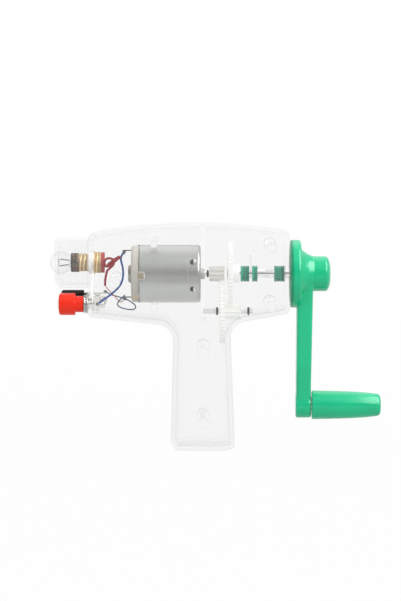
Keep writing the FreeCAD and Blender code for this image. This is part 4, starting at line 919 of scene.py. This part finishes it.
class GENERATOR_OT_stage(bpy.types.Operator):
    """Adds the camera, the lamps, the pale floor and the white surroundings."""

    bl_idname = "generator.stage"
    bl_label = "Stage"

    def execute(self, context):
        look = context.scene.generator_stage
        self.add_camera(context, look)
        self.add_floor(context)
        self.add_lamps()
        self.set_world(context, look)
        context.scene.view_settings.view_transform = "Standard"
        return {"FINISHED"}

    def add_camera(self, context, look):
        back = Vector((0.0, -math.cos(look.elevation), math.sin(look.elevation)))
        data = bpy.data.cameras.new("camera")
        data.lens = look.lens
        data.sensor_width = 36.0
        data.clip_start = 0.01
        camera = held("camera", data)
        camera.location = Vector(look.aim) + back * look.distance
        camera.rotation_euler = (-back).to_track_quat("-Z", "Y").to_euler()
        context.scene.camera = camera

    def add_floor(self, context):
        bpy.ops.mesh.primitive_plane_add(size=FLOOR_SIDE, location=(0.0, 0.0, -FLOOR_DROP))
        floor = context.active_object
        floor.name = "floor"
        finish = Finish("floor")
        far = finish.off_line((0.0, 0.0, 0.0), OFF_Z_LINE).between(0.0, FLOOR_FADE)
        seen = finish.ray("Camera", "Glossy", "Transmission") * (0.97 + far * 0.03)
        white = finish.node("ShaderNodeEmission", None, {"Color": grey(1.0), "Strength": 1.0})
        matt = finish.node("ShaderNodeBsdfDiffuse", None, {"Color": grey(0.55)})
        shown = finish.node("ShaderNodeMixShader", None, {0: seen, 1: matt, 2: white})
        floor.data.materials.append(finish.show(shown))

    def add_lamps(self):
        lamps = (
            ("top_lamp", (0.0, 0.55, 1.0), 0.9, 2.5),
            ("side_lamp", (0.79, -0.28, 0.85), 0.45, 1.5),
        )
        for name, place, side, power in lamps:
            data = bpy.data.lights.new(name, "AREA")
            data.shape = "SQUARE"
            data.size = side
            data.energy = power
            lamp = held(name, data)
            lamp.location = place
            turn = (Vector((0.0, 0.0, 0.06)) - lamp.location).to_track_quat("-Z", "Y")
            lamp.rotation_euler = turn.to_euler()

    def set_world(self, context, look):
        """White behind the object, soft light on it, and a darker room in front in its gloss."""
        world = bpy.data.worlds.new("surroundings")
        world.use_nodes = True
        sky = Graph(world.node_tree)
        direction = sky.node("ShaderNodeTexCoord", output="Generated")
        front = sky.dot(direction, (0.0, -1.0, 0.0)).between(0.55, 0.95)
        panel = sky.dot(direction, Vector(look.panel_side).normalized())
        panel = panel.between(math.cos(PANEL_DARK), math.cos(PANEL_BRIGHT))
        panel = panel * sky.along(direction, "X").between(0.12, 0.32)
        mirrored = 1.0 - front * look.dark_mirror + panel * look.panel_light
        main = sky.dot(direction, Vector(MAIN_SIDE).normalized())
        soft = look.even_light + main.maths("MAXIMUM", 0.0) * look.main_light
        gloss = sky.ray("Glossy")
        seen = sky.ray("Camera", "Transmission")
        hidden = gloss * mirrored + (1.0 - gloss) * soft
        light = sky.node(
            "ShaderNodeBackground",
            None,
            {"Color": grey(1.0), "Strength": seen + (1.0 - seen) * hidden},
        )
        sky.node("ShaderNodeOutputWorld", None, {"Surface": light})
        context.scene.world = world


class GENERATOR_OT_finishes(bpy.types.Operator):
    """Makes the finishes and gives each solid its own."""

    bl_idname = "generator.finishes"
    bl_label = "Finishes"

    def execute(self, context):
        make_finishes()
        for finish, nodes in NODE_FINISHES.items():
            for node in nodes:
                dress(node, finish)
        missing = set(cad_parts) - {n for nodes in NODE_FINISHES.values() for n in nodes}
        if missing:
            raise RuntimeError("these solids have no finish: %s" % sorted(missing))
        return {"FINISHED"}


class GENERATOR_OT_crank(bpy.types.Operator):
    """Melts the crank's disc, flare, arm and boss into one soft moulding."""

    bl_idname = "generator.crank"
    bl_label = "Crank"

    def execute(self, context):
        look = context.scene.generator_crank
        holder = held("crank_moulding", merged_copy("crank_arm"))
        skin = holder.modifiers.new("skin", "REMESH")
        skin.mode = "VOXEL"
        skin.voxel_size = look.voxel
        soften = holder.modifiers.new("soften", "SMOOTH")
        soften.factor = 0.5
        soften.iterations = look.softness
        mesh = plain(holder)
        mesh.shade_smooth()
        piece("crank_moulding", mesh, "crank", "green_plastic", "crank", "crank_arm")
        return {"FINISHED"}


class GENERATOR_OT_handle(bpy.types.Operator):
    """Turns the handle with its long taper and round end."""

    bl_idname = "generator.handle"
    bl_label = "Handle"

    def execute(self, context):
        look = context.scene.generator_handle
        low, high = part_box("handle_grip")
        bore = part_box("handle_pin")[1].z - middle("handle_pin").z + HANDLE_CLEARANCE
        outline = rounded([
            (high.x - HANDLE_CLOSED_END, 0.0),
            (high.x - HANDLE_CLOSED_END, bore),
            (low.x, bore),
            (low.x, look.near_radius, 0.7 * MM),
            (high.x - look.taper, look.middle_radius, look.taper * 0.9),
            (high.x, look.far_radius, look.edge),
            (high.x, 0.0),
        ], steps=12)
        clay = Clay()
        clay.turned(outline, middle("handle_grip"), 128)
        mesh = clay.mesh("handle_sleeve")
        piece("handle_sleeve", mesh, "green", "green_plastic", "handle", "handle_grip")
        return {"FINISHED"}


class GENERATOR_OT_collars(bpy.types.Operator):
    """Turns the three ribbed collars on the crank's axle."""

    bl_idname = "generator.collars"
    bl_label = "Axle collars"

    def execute(self, context):
        for place in ("inner", "middle", "outer"):
            node = "axle_collar_" + place
            low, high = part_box(node)
            centre = middle(node)
            outer = high.z - centre.z
            corners = [(low.x, COLLAR_BORE), (low.x, outer, 0.3 * MM)]
            grooves = max(1, round((high.x - low.x) / COLLAR_RIB) - 1)
            for index in range(grooves):
                x = low.x + (high.x - low.x) * (index + 1) / (grooves + 1)
                for step, depth in ((-0.3, 0.0), (-0.12, 0.35), (0.12, 0.35), (0.3, 0.0)):
                    corners.append((x + step * MM, outer - depth * MM, 0.1 * MM))
            corners += [(high.x, outer, 0.3 * MM), (high.x, COLLAR_BORE)]
            clay = Clay()
            clay.turned(rounded(corners, ring=True, steps=4), centre, ring=True)
            mesh = clay.mesh(place + "_collar")
            piece(place + "_collar", mesh, "green_collar", "green_plastic", "crank", node)
        return {"FINISHED"}


def thread_recipe():
    """Rolled ridge that climbs round a line, on top of the mesh it is given."""
    recipe = Recipe("rolled_thread", {
        "Start": "Vector", "Turn": "Vector", "Run": "Float", "Radius": "Float",
        "Pitch": "Float", "Ridge": "Float", "Sides": "Int",
    })
    path = recipe.node("GeometryNodeCurveSpiral", None, {
        "Resolution": recipe.given("Sides"),
        "Rotations": recipe.given("Run") / recipe.given("Pitch"),
        "Start Radius": recipe.given("Radius"),
        "End Radius": recipe.given("Radius"),
        "Height": recipe.given("Run"),
    })
    section = recipe.node("GeometryNodeCurvePrimitiveCircle", {"mode": "RADIUS"}, {
        "Resolution": 12, "Radius": recipe.given("Ridge"),
    })
    ridge = recipe.node("GeometryNodeCurveToMesh", None, {
        "Curve": path, "Profile Curve": section, "Fill Caps": True,
    })
    placed = recipe.node("GeometryNodeTransform", None, {
        "Geometry": ridge,
        "Translation": recipe.given("Start"),
        "Rotation": recipe.given("Turn"),
    })
    recipe.serve(recipe.node(
        "GeometryNodeJoinGeometry", None, {"Geometry": [recipe.given("Geometry"), placed]}
    ))
    return recipe


def threaded(recipe, name, core, finish, start, run, radius, pitch, ridge, turn=ALONG_X, sides=56):
    """Mesh of a core with a thread on it, its faces turned outwards."""
    made = recipe.mesh(
        name, core, finish, start=start, turn=turn, run=run, radius=radius, pitch=pitch,
        ridge=ridge, sides=sides,
    )
    shape = bmesh.new()
    shape.from_mesh(made)
    bmesh.ops.recalc_face_normals(shape, faces=shape.faces)
    shape.to_mesh(made)
    shape.free()
    return smooth(made)


class GENERATOR_OT_lamp(bpy.types.Operator):
    """Makes the lamp: rim, rolled thread, glass and coiled filament."""

    bl_idname = "generator.lamp"
    bl_label = "Lamp"

    def execute(self, context):
        look = context.scene.generator_lamp
        recipe = thread_recipe()
        self.add_base(look, recipe)
        self.add_glass()
        self.add_filament(look, recipe)
        self.add_holder(look, recipe)
        return {"FINISHED"}

    def add_base(self, look, recipe):
        low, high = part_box("lamp_base")
        centre = middle("lamp_base")
        rim = high.z - centre.z
        crest = rim - RIM_OVER_THREAD
        root = crest - THREAD_DEPTH
        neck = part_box("lamp_glass")[1].x
        inside = rim - 2.2 * look.sheet
        clay = Clay()
        clay.turned(rounded([
            (low.x, inside),
            (low.x, rim, 0.3 * MM),
            (neck, rim, 0.25 * MM),
            (neck, inside),
        ], ring=True), centre, ring=True)
        mesh = clay.mesh("lamp_rim")
        piece("lamp_rim", mesh, "rim", "brass", "case")
        clay = Clay()
        clay.turned(rounded([
            (neck, root - look.sheet),
            (neck, root),
            (high.x, root, 0.4 * MM),
            (high.x, root - look.sheet),
        ], ring=True), centre, ring=True)
        start = (neck + THREAD_AFTER_RIM, centre.y, centre.z)
        run = look.thread_pitch * look.thread_turns
        mesh = threaded(
            recipe, "lamp_screw", clay.mesh("core"), "thread", start, run,
            crest - look.thread_ridge, look.thread_pitch, look.thread_ridge)
        piece("lamp_screw", mesh, "thread", "brass", "case", "lamp_base")

    def add_glass(self):
        low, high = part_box("lamp_glass")
        centre = middle("lamp_glass")
        bulb = high.z - centre.z
        turn_end = math.pi - math.asin(GLASS_NECK * 1.25 / bulb)
        outline = []
        for step in range(GLASS_STEPS + 1):
            angle = turn_end * step / GLASS_STEPS
            outline.append((low.x + bulb - bulb * math.cos(angle), bulb * math.sin(angle)))
        outline.append((low.x + bulb * 2.02, GLASS_NECK))
        outline.append((high.x, GLASS_NECK))
        outline.append((high.x, 0.0))
        clay = Clay()
        clay.turned(outline, centre)
        mesh = clay.mesh("lamp_envelope")
        piece("lamp_envelope", mesh, "glass", "bulb_glass", "case", "lamp_glass")

    def add_filament(self, look, recipe):
        low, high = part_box("lamp_filament")
        centre = middle("lamp_filament")
        start = (centre.x, centre.y, low.z)
        mesh = threaded(
            recipe, "lamp_coil", bpy.data.meshes.new("core"), "tungsten", start,
            high.z - low.z, look.coil_radius, look.coil_radius, look.coil_wire,
            turn=(0.0, 0.0, 0.0), sides=14)
        piece("lamp_coil", mesh, "tungsten", "tungsten", "case", "lamp_filament")

    def add_holder(self, look, recipe):
        low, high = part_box("lamp_holder_shell")
        centre = middle("lamp_holder_shell")
        outer = SHELL_BORE + SHELL_SHEET
        rim = high.z - centre.z
        rim_x = low.x + WALL + SHELL_RIM_GAP
        clay = Clay()
        clay.turned(rounded([
            (low.x, SHELL_BORE),
            (low.x, outer),
            (rim_x, outer),
            (rim_x, rim, 0.15 * MM),
            (rim_x + SHELL_SHEET, rim, 0.15 * MM),
            (rim_x + SHELL_SHEET, outer, 0.2 * MM),
            (high.x, outer, 0.2 * MM),
            (high.x, SHELL_BORE),
        ], ring=True), centre, ring=True)
        start = (rim_x + SHELL_THREAD_START, centre.y, centre.z)
        mesh = threaded(
            recipe, "holder_shell", clay.mesh("core"), "holder", start,
            high.x - start[0] - SHELL_THREAD_END, outer - SHELL_RIDGE_SINK, look.thread_pitch,
            look.thread_ridge)
        piece("holder_shell", mesh, "holder", "brass", "case", "lamp_holder_shell")


class GENERATOR_OT_posts(bpy.types.Operator):
    """Turns the knobs and collars of the posts and cuts the studs' threads."""

    bl_idname = "generator.posts"
    bl_label = "Terminal posts"

    def execute(self, context):
        look = context.scene.generator_posts
        recipe = thread_recipe()
        for paint in ("red", "black"):
            self.add_knob(look, paint)
            self.add_collar(paint)
            self.add_thread(look, paint, recipe)
        return {"FINISHED"}

    def add_knob(self, look, paint):
        node = paint + "_post_knob"
        low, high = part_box(node)
        centre = middle(node)
        wide = high.z - centre.z
        bore = POST_RADIUS + KNOB_CLEARANCE
        front = low.x
        step = low.x + KNOB_SHIFT + (KNOB_WIDE_LENGTH if paint == "red" else BLACK_WIDE_LENGTH)
        back = high.x + KNOB_SHIFT
        clay = Clay()
        clay.turned(rounded([
            (front, bore),
            (front, wide - KNOB_CHAMFER, 0.3 * MM),
            (front + KNOB_CHAMFER, wide, look.edge),
            (step, wide, look.edge),
            (step, KNOB_NECK, 0.3 * MM),
            (back, KNOB_NECK, 0.3 * MM),
            (back, bore),
        ], ring=True), centre, ring=True)
        mesh = clay.mesh(paint + "_knob_moulding")
        body = paint + "_knob"
        piece(paint + "_knob_moulding", mesh, paint, paint + "_plastic", body, node)

    def add_collar(self, paint):
        node = paint + "_post_collar"
        low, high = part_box(node)
        centre = middle(node)
        outer = high.z - centre.z
        front = low.x + KNOB_SHIFT + RING_GAP
        groove = (front + high.x) / 2
        clay = Clay()
        clay.turned(rounded([
            (front, POST_TAIL),
            (front, outer - 0.3 * MM, 0.2 * MM),
            (front + 0.3 * MM, outer, 0.2 * MM),
            (groove - RING_GROOVE, outer, 0.1 * MM),
            (groove, outer - RING_GROOVE_DEPTH, 0.2 * MM),
            (groove + RING_GROOVE, outer, 0.1 * MM),
            (high.x, outer, 0.2 * MM),
            (high.x, POST_TAIL),
        ], ring=True), centre, ring=True)
        mesh = clay.mesh(paint + "_base_ring")
        piece(paint + "_base_ring", mesh, "ring", "nickel", "case", node)

    def add_thread(self, look, paint, recipe):
        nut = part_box(paint + "_post_nut")[1]
        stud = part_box(paint + "_post_stud")[1]
        centre = middle(paint + "_post_stud")
        start = (nut.x + 0.3 * MM, centre.y, centre.z)
        mesh = threaded(
            recipe, paint + "_stud_thread", bpy.data.meshes.new("core"), "nickel", start,
            stud.x - start[0] - 0.5 * MM, POST_TAIL - 0.04 * MM, look.thread_pitch,
            look.thread_ridge)
        piece(paint + "_stud_thread", mesh, "nickel", "nickel", "case")


RED_ROUTE = (
    (-46.05, 0.0, 87.3), (-44.6, -1.2, 88.6), (-42.6, -2.0, 90.2), (-40.4, -2.4, 91.6),
    (-39.6, -3.0, 91.6), (-40.4, -3.6, 90.8), (-42.2, -4.0, 89.4), (-44.6, -4.4, 87.3),
    (-46.6, -4.8, 87.0), (-47.2, -5.2, 88.8), (-46.4, -5.6, 90.8), (-44.6, -6.0, 91.3),
    (-42.6, -6.4, 90.6), (-42.2, -6.8, 88.8), (-43.6, -7.2, 87.0), (-45.6, -7.4, 85.6),
    (-46.1, -7.4, 83.6), (-46.6, -7.4, 81.0), (-46.7, -7.3, 78.2),
)
STRAND_ROUTE = (
    (-46.7, -7.3, 78.4), (-45.9, -7.2, 77.0), (-43.4, -6.2, 74.3), (-41.2, -5.0, 71.7),
    (-39.7, -3.4, 69.6), (-38.6, -1.6, 70.4), (-37.5, -0.5, 71.2),
)
NEAR_BLUE_ROUTE = (
    (-37.9, -0.3, 93.5), (-39.4, -1.2, 91.8), (-39.2, -2.6, 89.6), (-38.3, -4.2, 86.6),
    (-38.0, -5.6, 83.6), (-38.4, -6.8, 80.6), (-39.6, -8.2, 78.0), (-42.0, -9.8, 75.6),
    (-45.0, -11.4, 73.3), (-48.0, -12.9, 71.4), (-50.0, -13.2, 69.9),
)
FAR_BLUE_ROUTE = (
    (-37.6, 0.5, 72.9), (-38.8, -0.6, 71.8), (-40.4, -2.4, 70.3), (-41.2, -4.0, 68.6),
    (-39.6, -5.6, 67.6), (-36.6, -6.8, 66.8), (-33.4, -7.8, 66.6), (-31.9, -8.0, 67.6),
    (-32.5, -7.8, 69.2), (-34.9, -7.0, 70.8), (-38.2, -5.8, 72.1), (-41.8, -3.6, 72.9),
    (-44.6, 0.4, 73.2), (-46.2, 5.4, 73.9), (-47.3, 9.5, 74.13),
)


def lead(name, route, radius, finish, slot, *nodes):
    """Wire that follows a smooth line near its route's points, in millimetres."""
    data = bpy.data.curves.new(name, "CURVE")
    data.dimensions = "3D"
    data.bevel_depth = radius
    data.bevel_resolution = 4
    data.resolution_u = 8
    data.use_fill_caps = True
    line = data.splines.new("NURBS")
    line.points.add(len(route) - 1)
    for point, place in zip(line.points, route):
        point.co = (*(Vector(place) * MM), 1.0)
    line.order_u = 3
    line.use_endpoint_u = True
    mesh = plain(held(name, data))
    mesh.shade_smooth()
    piece(name, mesh, finish, slot, "case", *nodes)


class GENERATOR_OT_leads(bpy.types.Operator):
    """Runs the wires and solders them to the lamp, the motor and the posts."""

    bl_idname = "generator.leads"
    bl_label = "Wires"

    def execute(self, context):
        look = context.scene.generator_leads
        lead("red_lead", RED_ROUTE, look.red_radius, "red_wire", "red_insulation", "red_wire")
        lead("red_lead_strand", STRAND_ROUTE, look.strand_radius, "strand", "copper")
        lead("blue_lead_near", NEAR_BLUE_ROUTE, look.blue_radius, "blue_wire",
             "blue_insulation", "blue_wire_near")
        lead("blue_lead_far", FAR_BLUE_ROUTE, look.far_radius, "dark_blue_wire",
             "blue_insulation", "blue_wire_far")
        joints = (
            (RED_ROUTE[0], (0.5, 0.9, 0.8)),
            (STRAND_ROUTE[-1], (0.9, 0.8, 0.6)),
            (NEAR_BLUE_ROUTE[0], (1.0, 0.7, 0.75)),
            (NEAR_BLUE_ROUTE[-1], (0.8, 0.6, 0.9)),
            (FAR_BLUE_ROUTE[-1], (0.9, 0.8, 0.6)),
        )
        clay = Clay()
        for place, radii in joints:
            clay.ball(Vector(place) * MM, [radius * MM for radius in radii], lumps=0.35)
        piece("solder_joints", clay.mesh("solder_joints"), "solder", "solder", "case")
        return {"FINISHED"}


class GENERATOR_OT_motor(bpy.types.Operator):
    """Adds the motor's latch, crimps, vent clips, dark discs of painted shade behind the vents, and
    the rings on the shafts.
    """

    bl_idname = "generator.motor"
    bl_label = "Motor and shaft details"

    def execute(self, context):
        can_low, can_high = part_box("motor_can")
        centre = middle("motor_can")
        outer = can_high.z - centre.z
        self.add_latch(can_low, centre, outer)
        self.add_crimps(can_low, centre, outer)
        self.add_vents(can_high, centre, outer)
        self.add_rings()
        return {"FINISHED"}

    def add_latch(self, can_low, centre, outer):
        face = centre.y - outer
        clay = Clay()
        clay.block((can_low.x - 0.6 * MM, face + 0.1 * MM, centre.z - 1.5 * MM),
                   (can_low.x + 2.6 * MM, face + 1.1 * MM, centre.z + 1.5 * MM), 0.25 * MM)
        piece("cap_latch", clay.mesh("cap_latch"), "latch", "white_plastic", "case")
        clay = Clay()
        clay.ball((can_low.x + 2.9 * MM, face + 0.5 * MM, centre.z),
                  (0.6 * MM, 0.45 * MM, 1.1 * MM), lumps=0.1)
        piece("latch_stop", clay.mesh("latch_stop"), "white", "white_plastic", "case")

    def add_crimps(self, can_low, centre, outer):
        recipe = Recipe("spread_round", {"Centre": "Vector", "Count": "Int"})
        points = recipe.node("GeometryNodeMeshLine", None, {
            "Count": recipe.given("Count"), "Offset": (0.0, 0.0, 0.0),
        })
        share_of_turn = recipe.node("GeometryNodeInputIndex") / recipe.given("Count")
        turn = recipe.node("ShaderNodeCombineXYZ", None, {"X": share_of_turn * math.tau})
        copies = recipe.node("GeometryNodeInstanceOnPoints", None, {
            "Points": points, "Instance": recipe.given("Geometry"), "Rotation": turn,
        })
        recipe.serve(recipe.node("GeometryNodeTransform", None, {
            "Geometry": copies, "Translation": recipe.given("Centre"),
        }))
        # Painted shade: the crimps take the dark finish in place of the shaded slots they sit in.
        clay = Clay()
        clay.block((can_low.x - 0.5 * MM, -1.3 * MM, outer - 0.75 * MM),
                   (can_low.x + 0.7 * MM, 1.3 * MM, outer - 0.02 * MM), 0.2 * MM)
        across = (0.0, centre.y, centre.z)
        mesh = recipe.mesh("can_crimps", clay.mesh("crimp"), "dark", centre=across, count=2)
        piece("can_crimps", smooth(mesh), "dark", "steel_can", "case")

    def add_vents(self, can_high, centre, outer):
        """Bright clips that half fill the vents, and dark discs behind them as painted shade."""
        clay = Clay()
        vent_shade = Clay()
        depth = math.sqrt(outer ** 2 - VENT_RISE ** 2) - VENT_DEPTH
        for side in (-1, 1):
            for rise in (-VENT_RISE, VENT_RISE):
                vent = Vector((can_high.x - VENT_BACK, centre.y + side * depth, centre.z + rise))
                clay.ball(vent + Vector((CLIP_AHEAD, 0.0, 0.0)), CLIP_RADII)
                # Painted shade: a dark disc just behind each vent.
                behind = vent - Vector((0.0, side * VENT_SHADE_BEHIND, 0.0))
                vent_shade.ball(behind, VENT_SHADE_RADII)
        piece("vent_lips", clay.mesh("vent_lips"), "tin", "steel_can", "case")
        piece("vent_shade_discs", vent_shade.mesh("vent_shade_discs"), "ferrite", "ferrite", "case")

    def add_rings(self):
        """Thin rings that keep the shafts in place."""
        counter = middle("countershaft")
        axis = middle("crank_axle")
        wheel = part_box("counter_wheel")[0].x
        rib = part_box("countershaft")[1].x
        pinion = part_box("motor_pinion")[0].x
        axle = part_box("crank_axle")[0].x
        rings = (
            ("counter_clips", "counter", "dark", "bright_steel", counter, 1.2, 1.9,
             ((wheel - 1.5 * MM, 0.9), (rib - 2.6 * MM, 0.9))),
            ("shaft_slinger", "rotor", "dark", "bright_steel", axis, 0.95, 1.75,
             ((pinion - 1.25 * MM, 1.0),)),
            ("axle_clip", "crank", "steel", "bright_steel", axis, 1.95, 2.5,
             ((axle, 0.35),)),
        )
        for name, body, finish, slot, centre, bore, outer, places in rings:
            clay = Clay()
            for x, width in places:
                clay.turned(rounded([
                    (x, bore * MM), (x, outer * MM, 0.1 * MM),
                    (x + width * MM, outer * MM, 0.1 * MM), (x + width * MM, bore * MM),
                ], ring=True, steps=3), centre, 64, ring=True)
            piece(name, clay.mesh(name), finish, slot, body)


class GENERATOR_PT_panel(bpy.types.Panel):
    """Lists the steps that build the generator's looks."""

    bl_label = "Generator"
    bl_idname = "GENERATOR_PT_panel"
    bl_space_type = "VIEW_3D"
    bl_region_type = "UI"
    bl_category = "Generator"

    def draw(self, context):
        for operator in OPERATORS:
            self.layout.operator(operator.bl_idname)


LOOKS = {
    "case": CaseLook,
    "hood": HoodLook,
    "crank": CrankLook,
    "handle": HandleLook,
    "lamp": LampLook,
    "posts": PostsLook,
    "leads": LeadsLook,
    "stage": StageLook,
}
OPERATORS = (
    GENERATOR_OT_stage,
    GENERATOR_OT_finishes,
    GENERATOR_OT_crank,
    GENERATOR_OT_handle,
    GENERATOR_OT_collars,
    GENERATOR_OT_lamp,
    GENERATOR_OT_posts,
    GENERATOR_OT_leads,
    GENERATOR_OT_motor,
)


def register():
    for look in LOOKS.values():
        bpy.utils.register_class(look)
    for name, look in LOOKS.items():
        setattr(bpy.types.Scene, PREFIX + "_" + name, bpy.props.PointerProperty(type=look))
    for operator in OPERATORS:
        bpy.utils.register_class(operator)
    bpy.utils.register_class(GENERATOR_PT_panel)


def unregister():
    bpy.utils.unregister_class(GENERATOR_PT_panel)
    for operator in reversed(OPERATORS):
        bpy.utils.unregister_class(operator)
    for name in LOOKS:
        delattr(bpy.types.Scene, PREFIX + "_" + name)
    for look in reversed(list(LOOKS.values())):
        bpy.utils.unregister_class(look)


def main():
    register()
    for operator in OPERATORS:
        group, name = operator.bl_idname.split(".")
        getattr(getattr(bpy.ops, group), name)()
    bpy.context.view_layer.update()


if __name__ == "__main__":
    main()
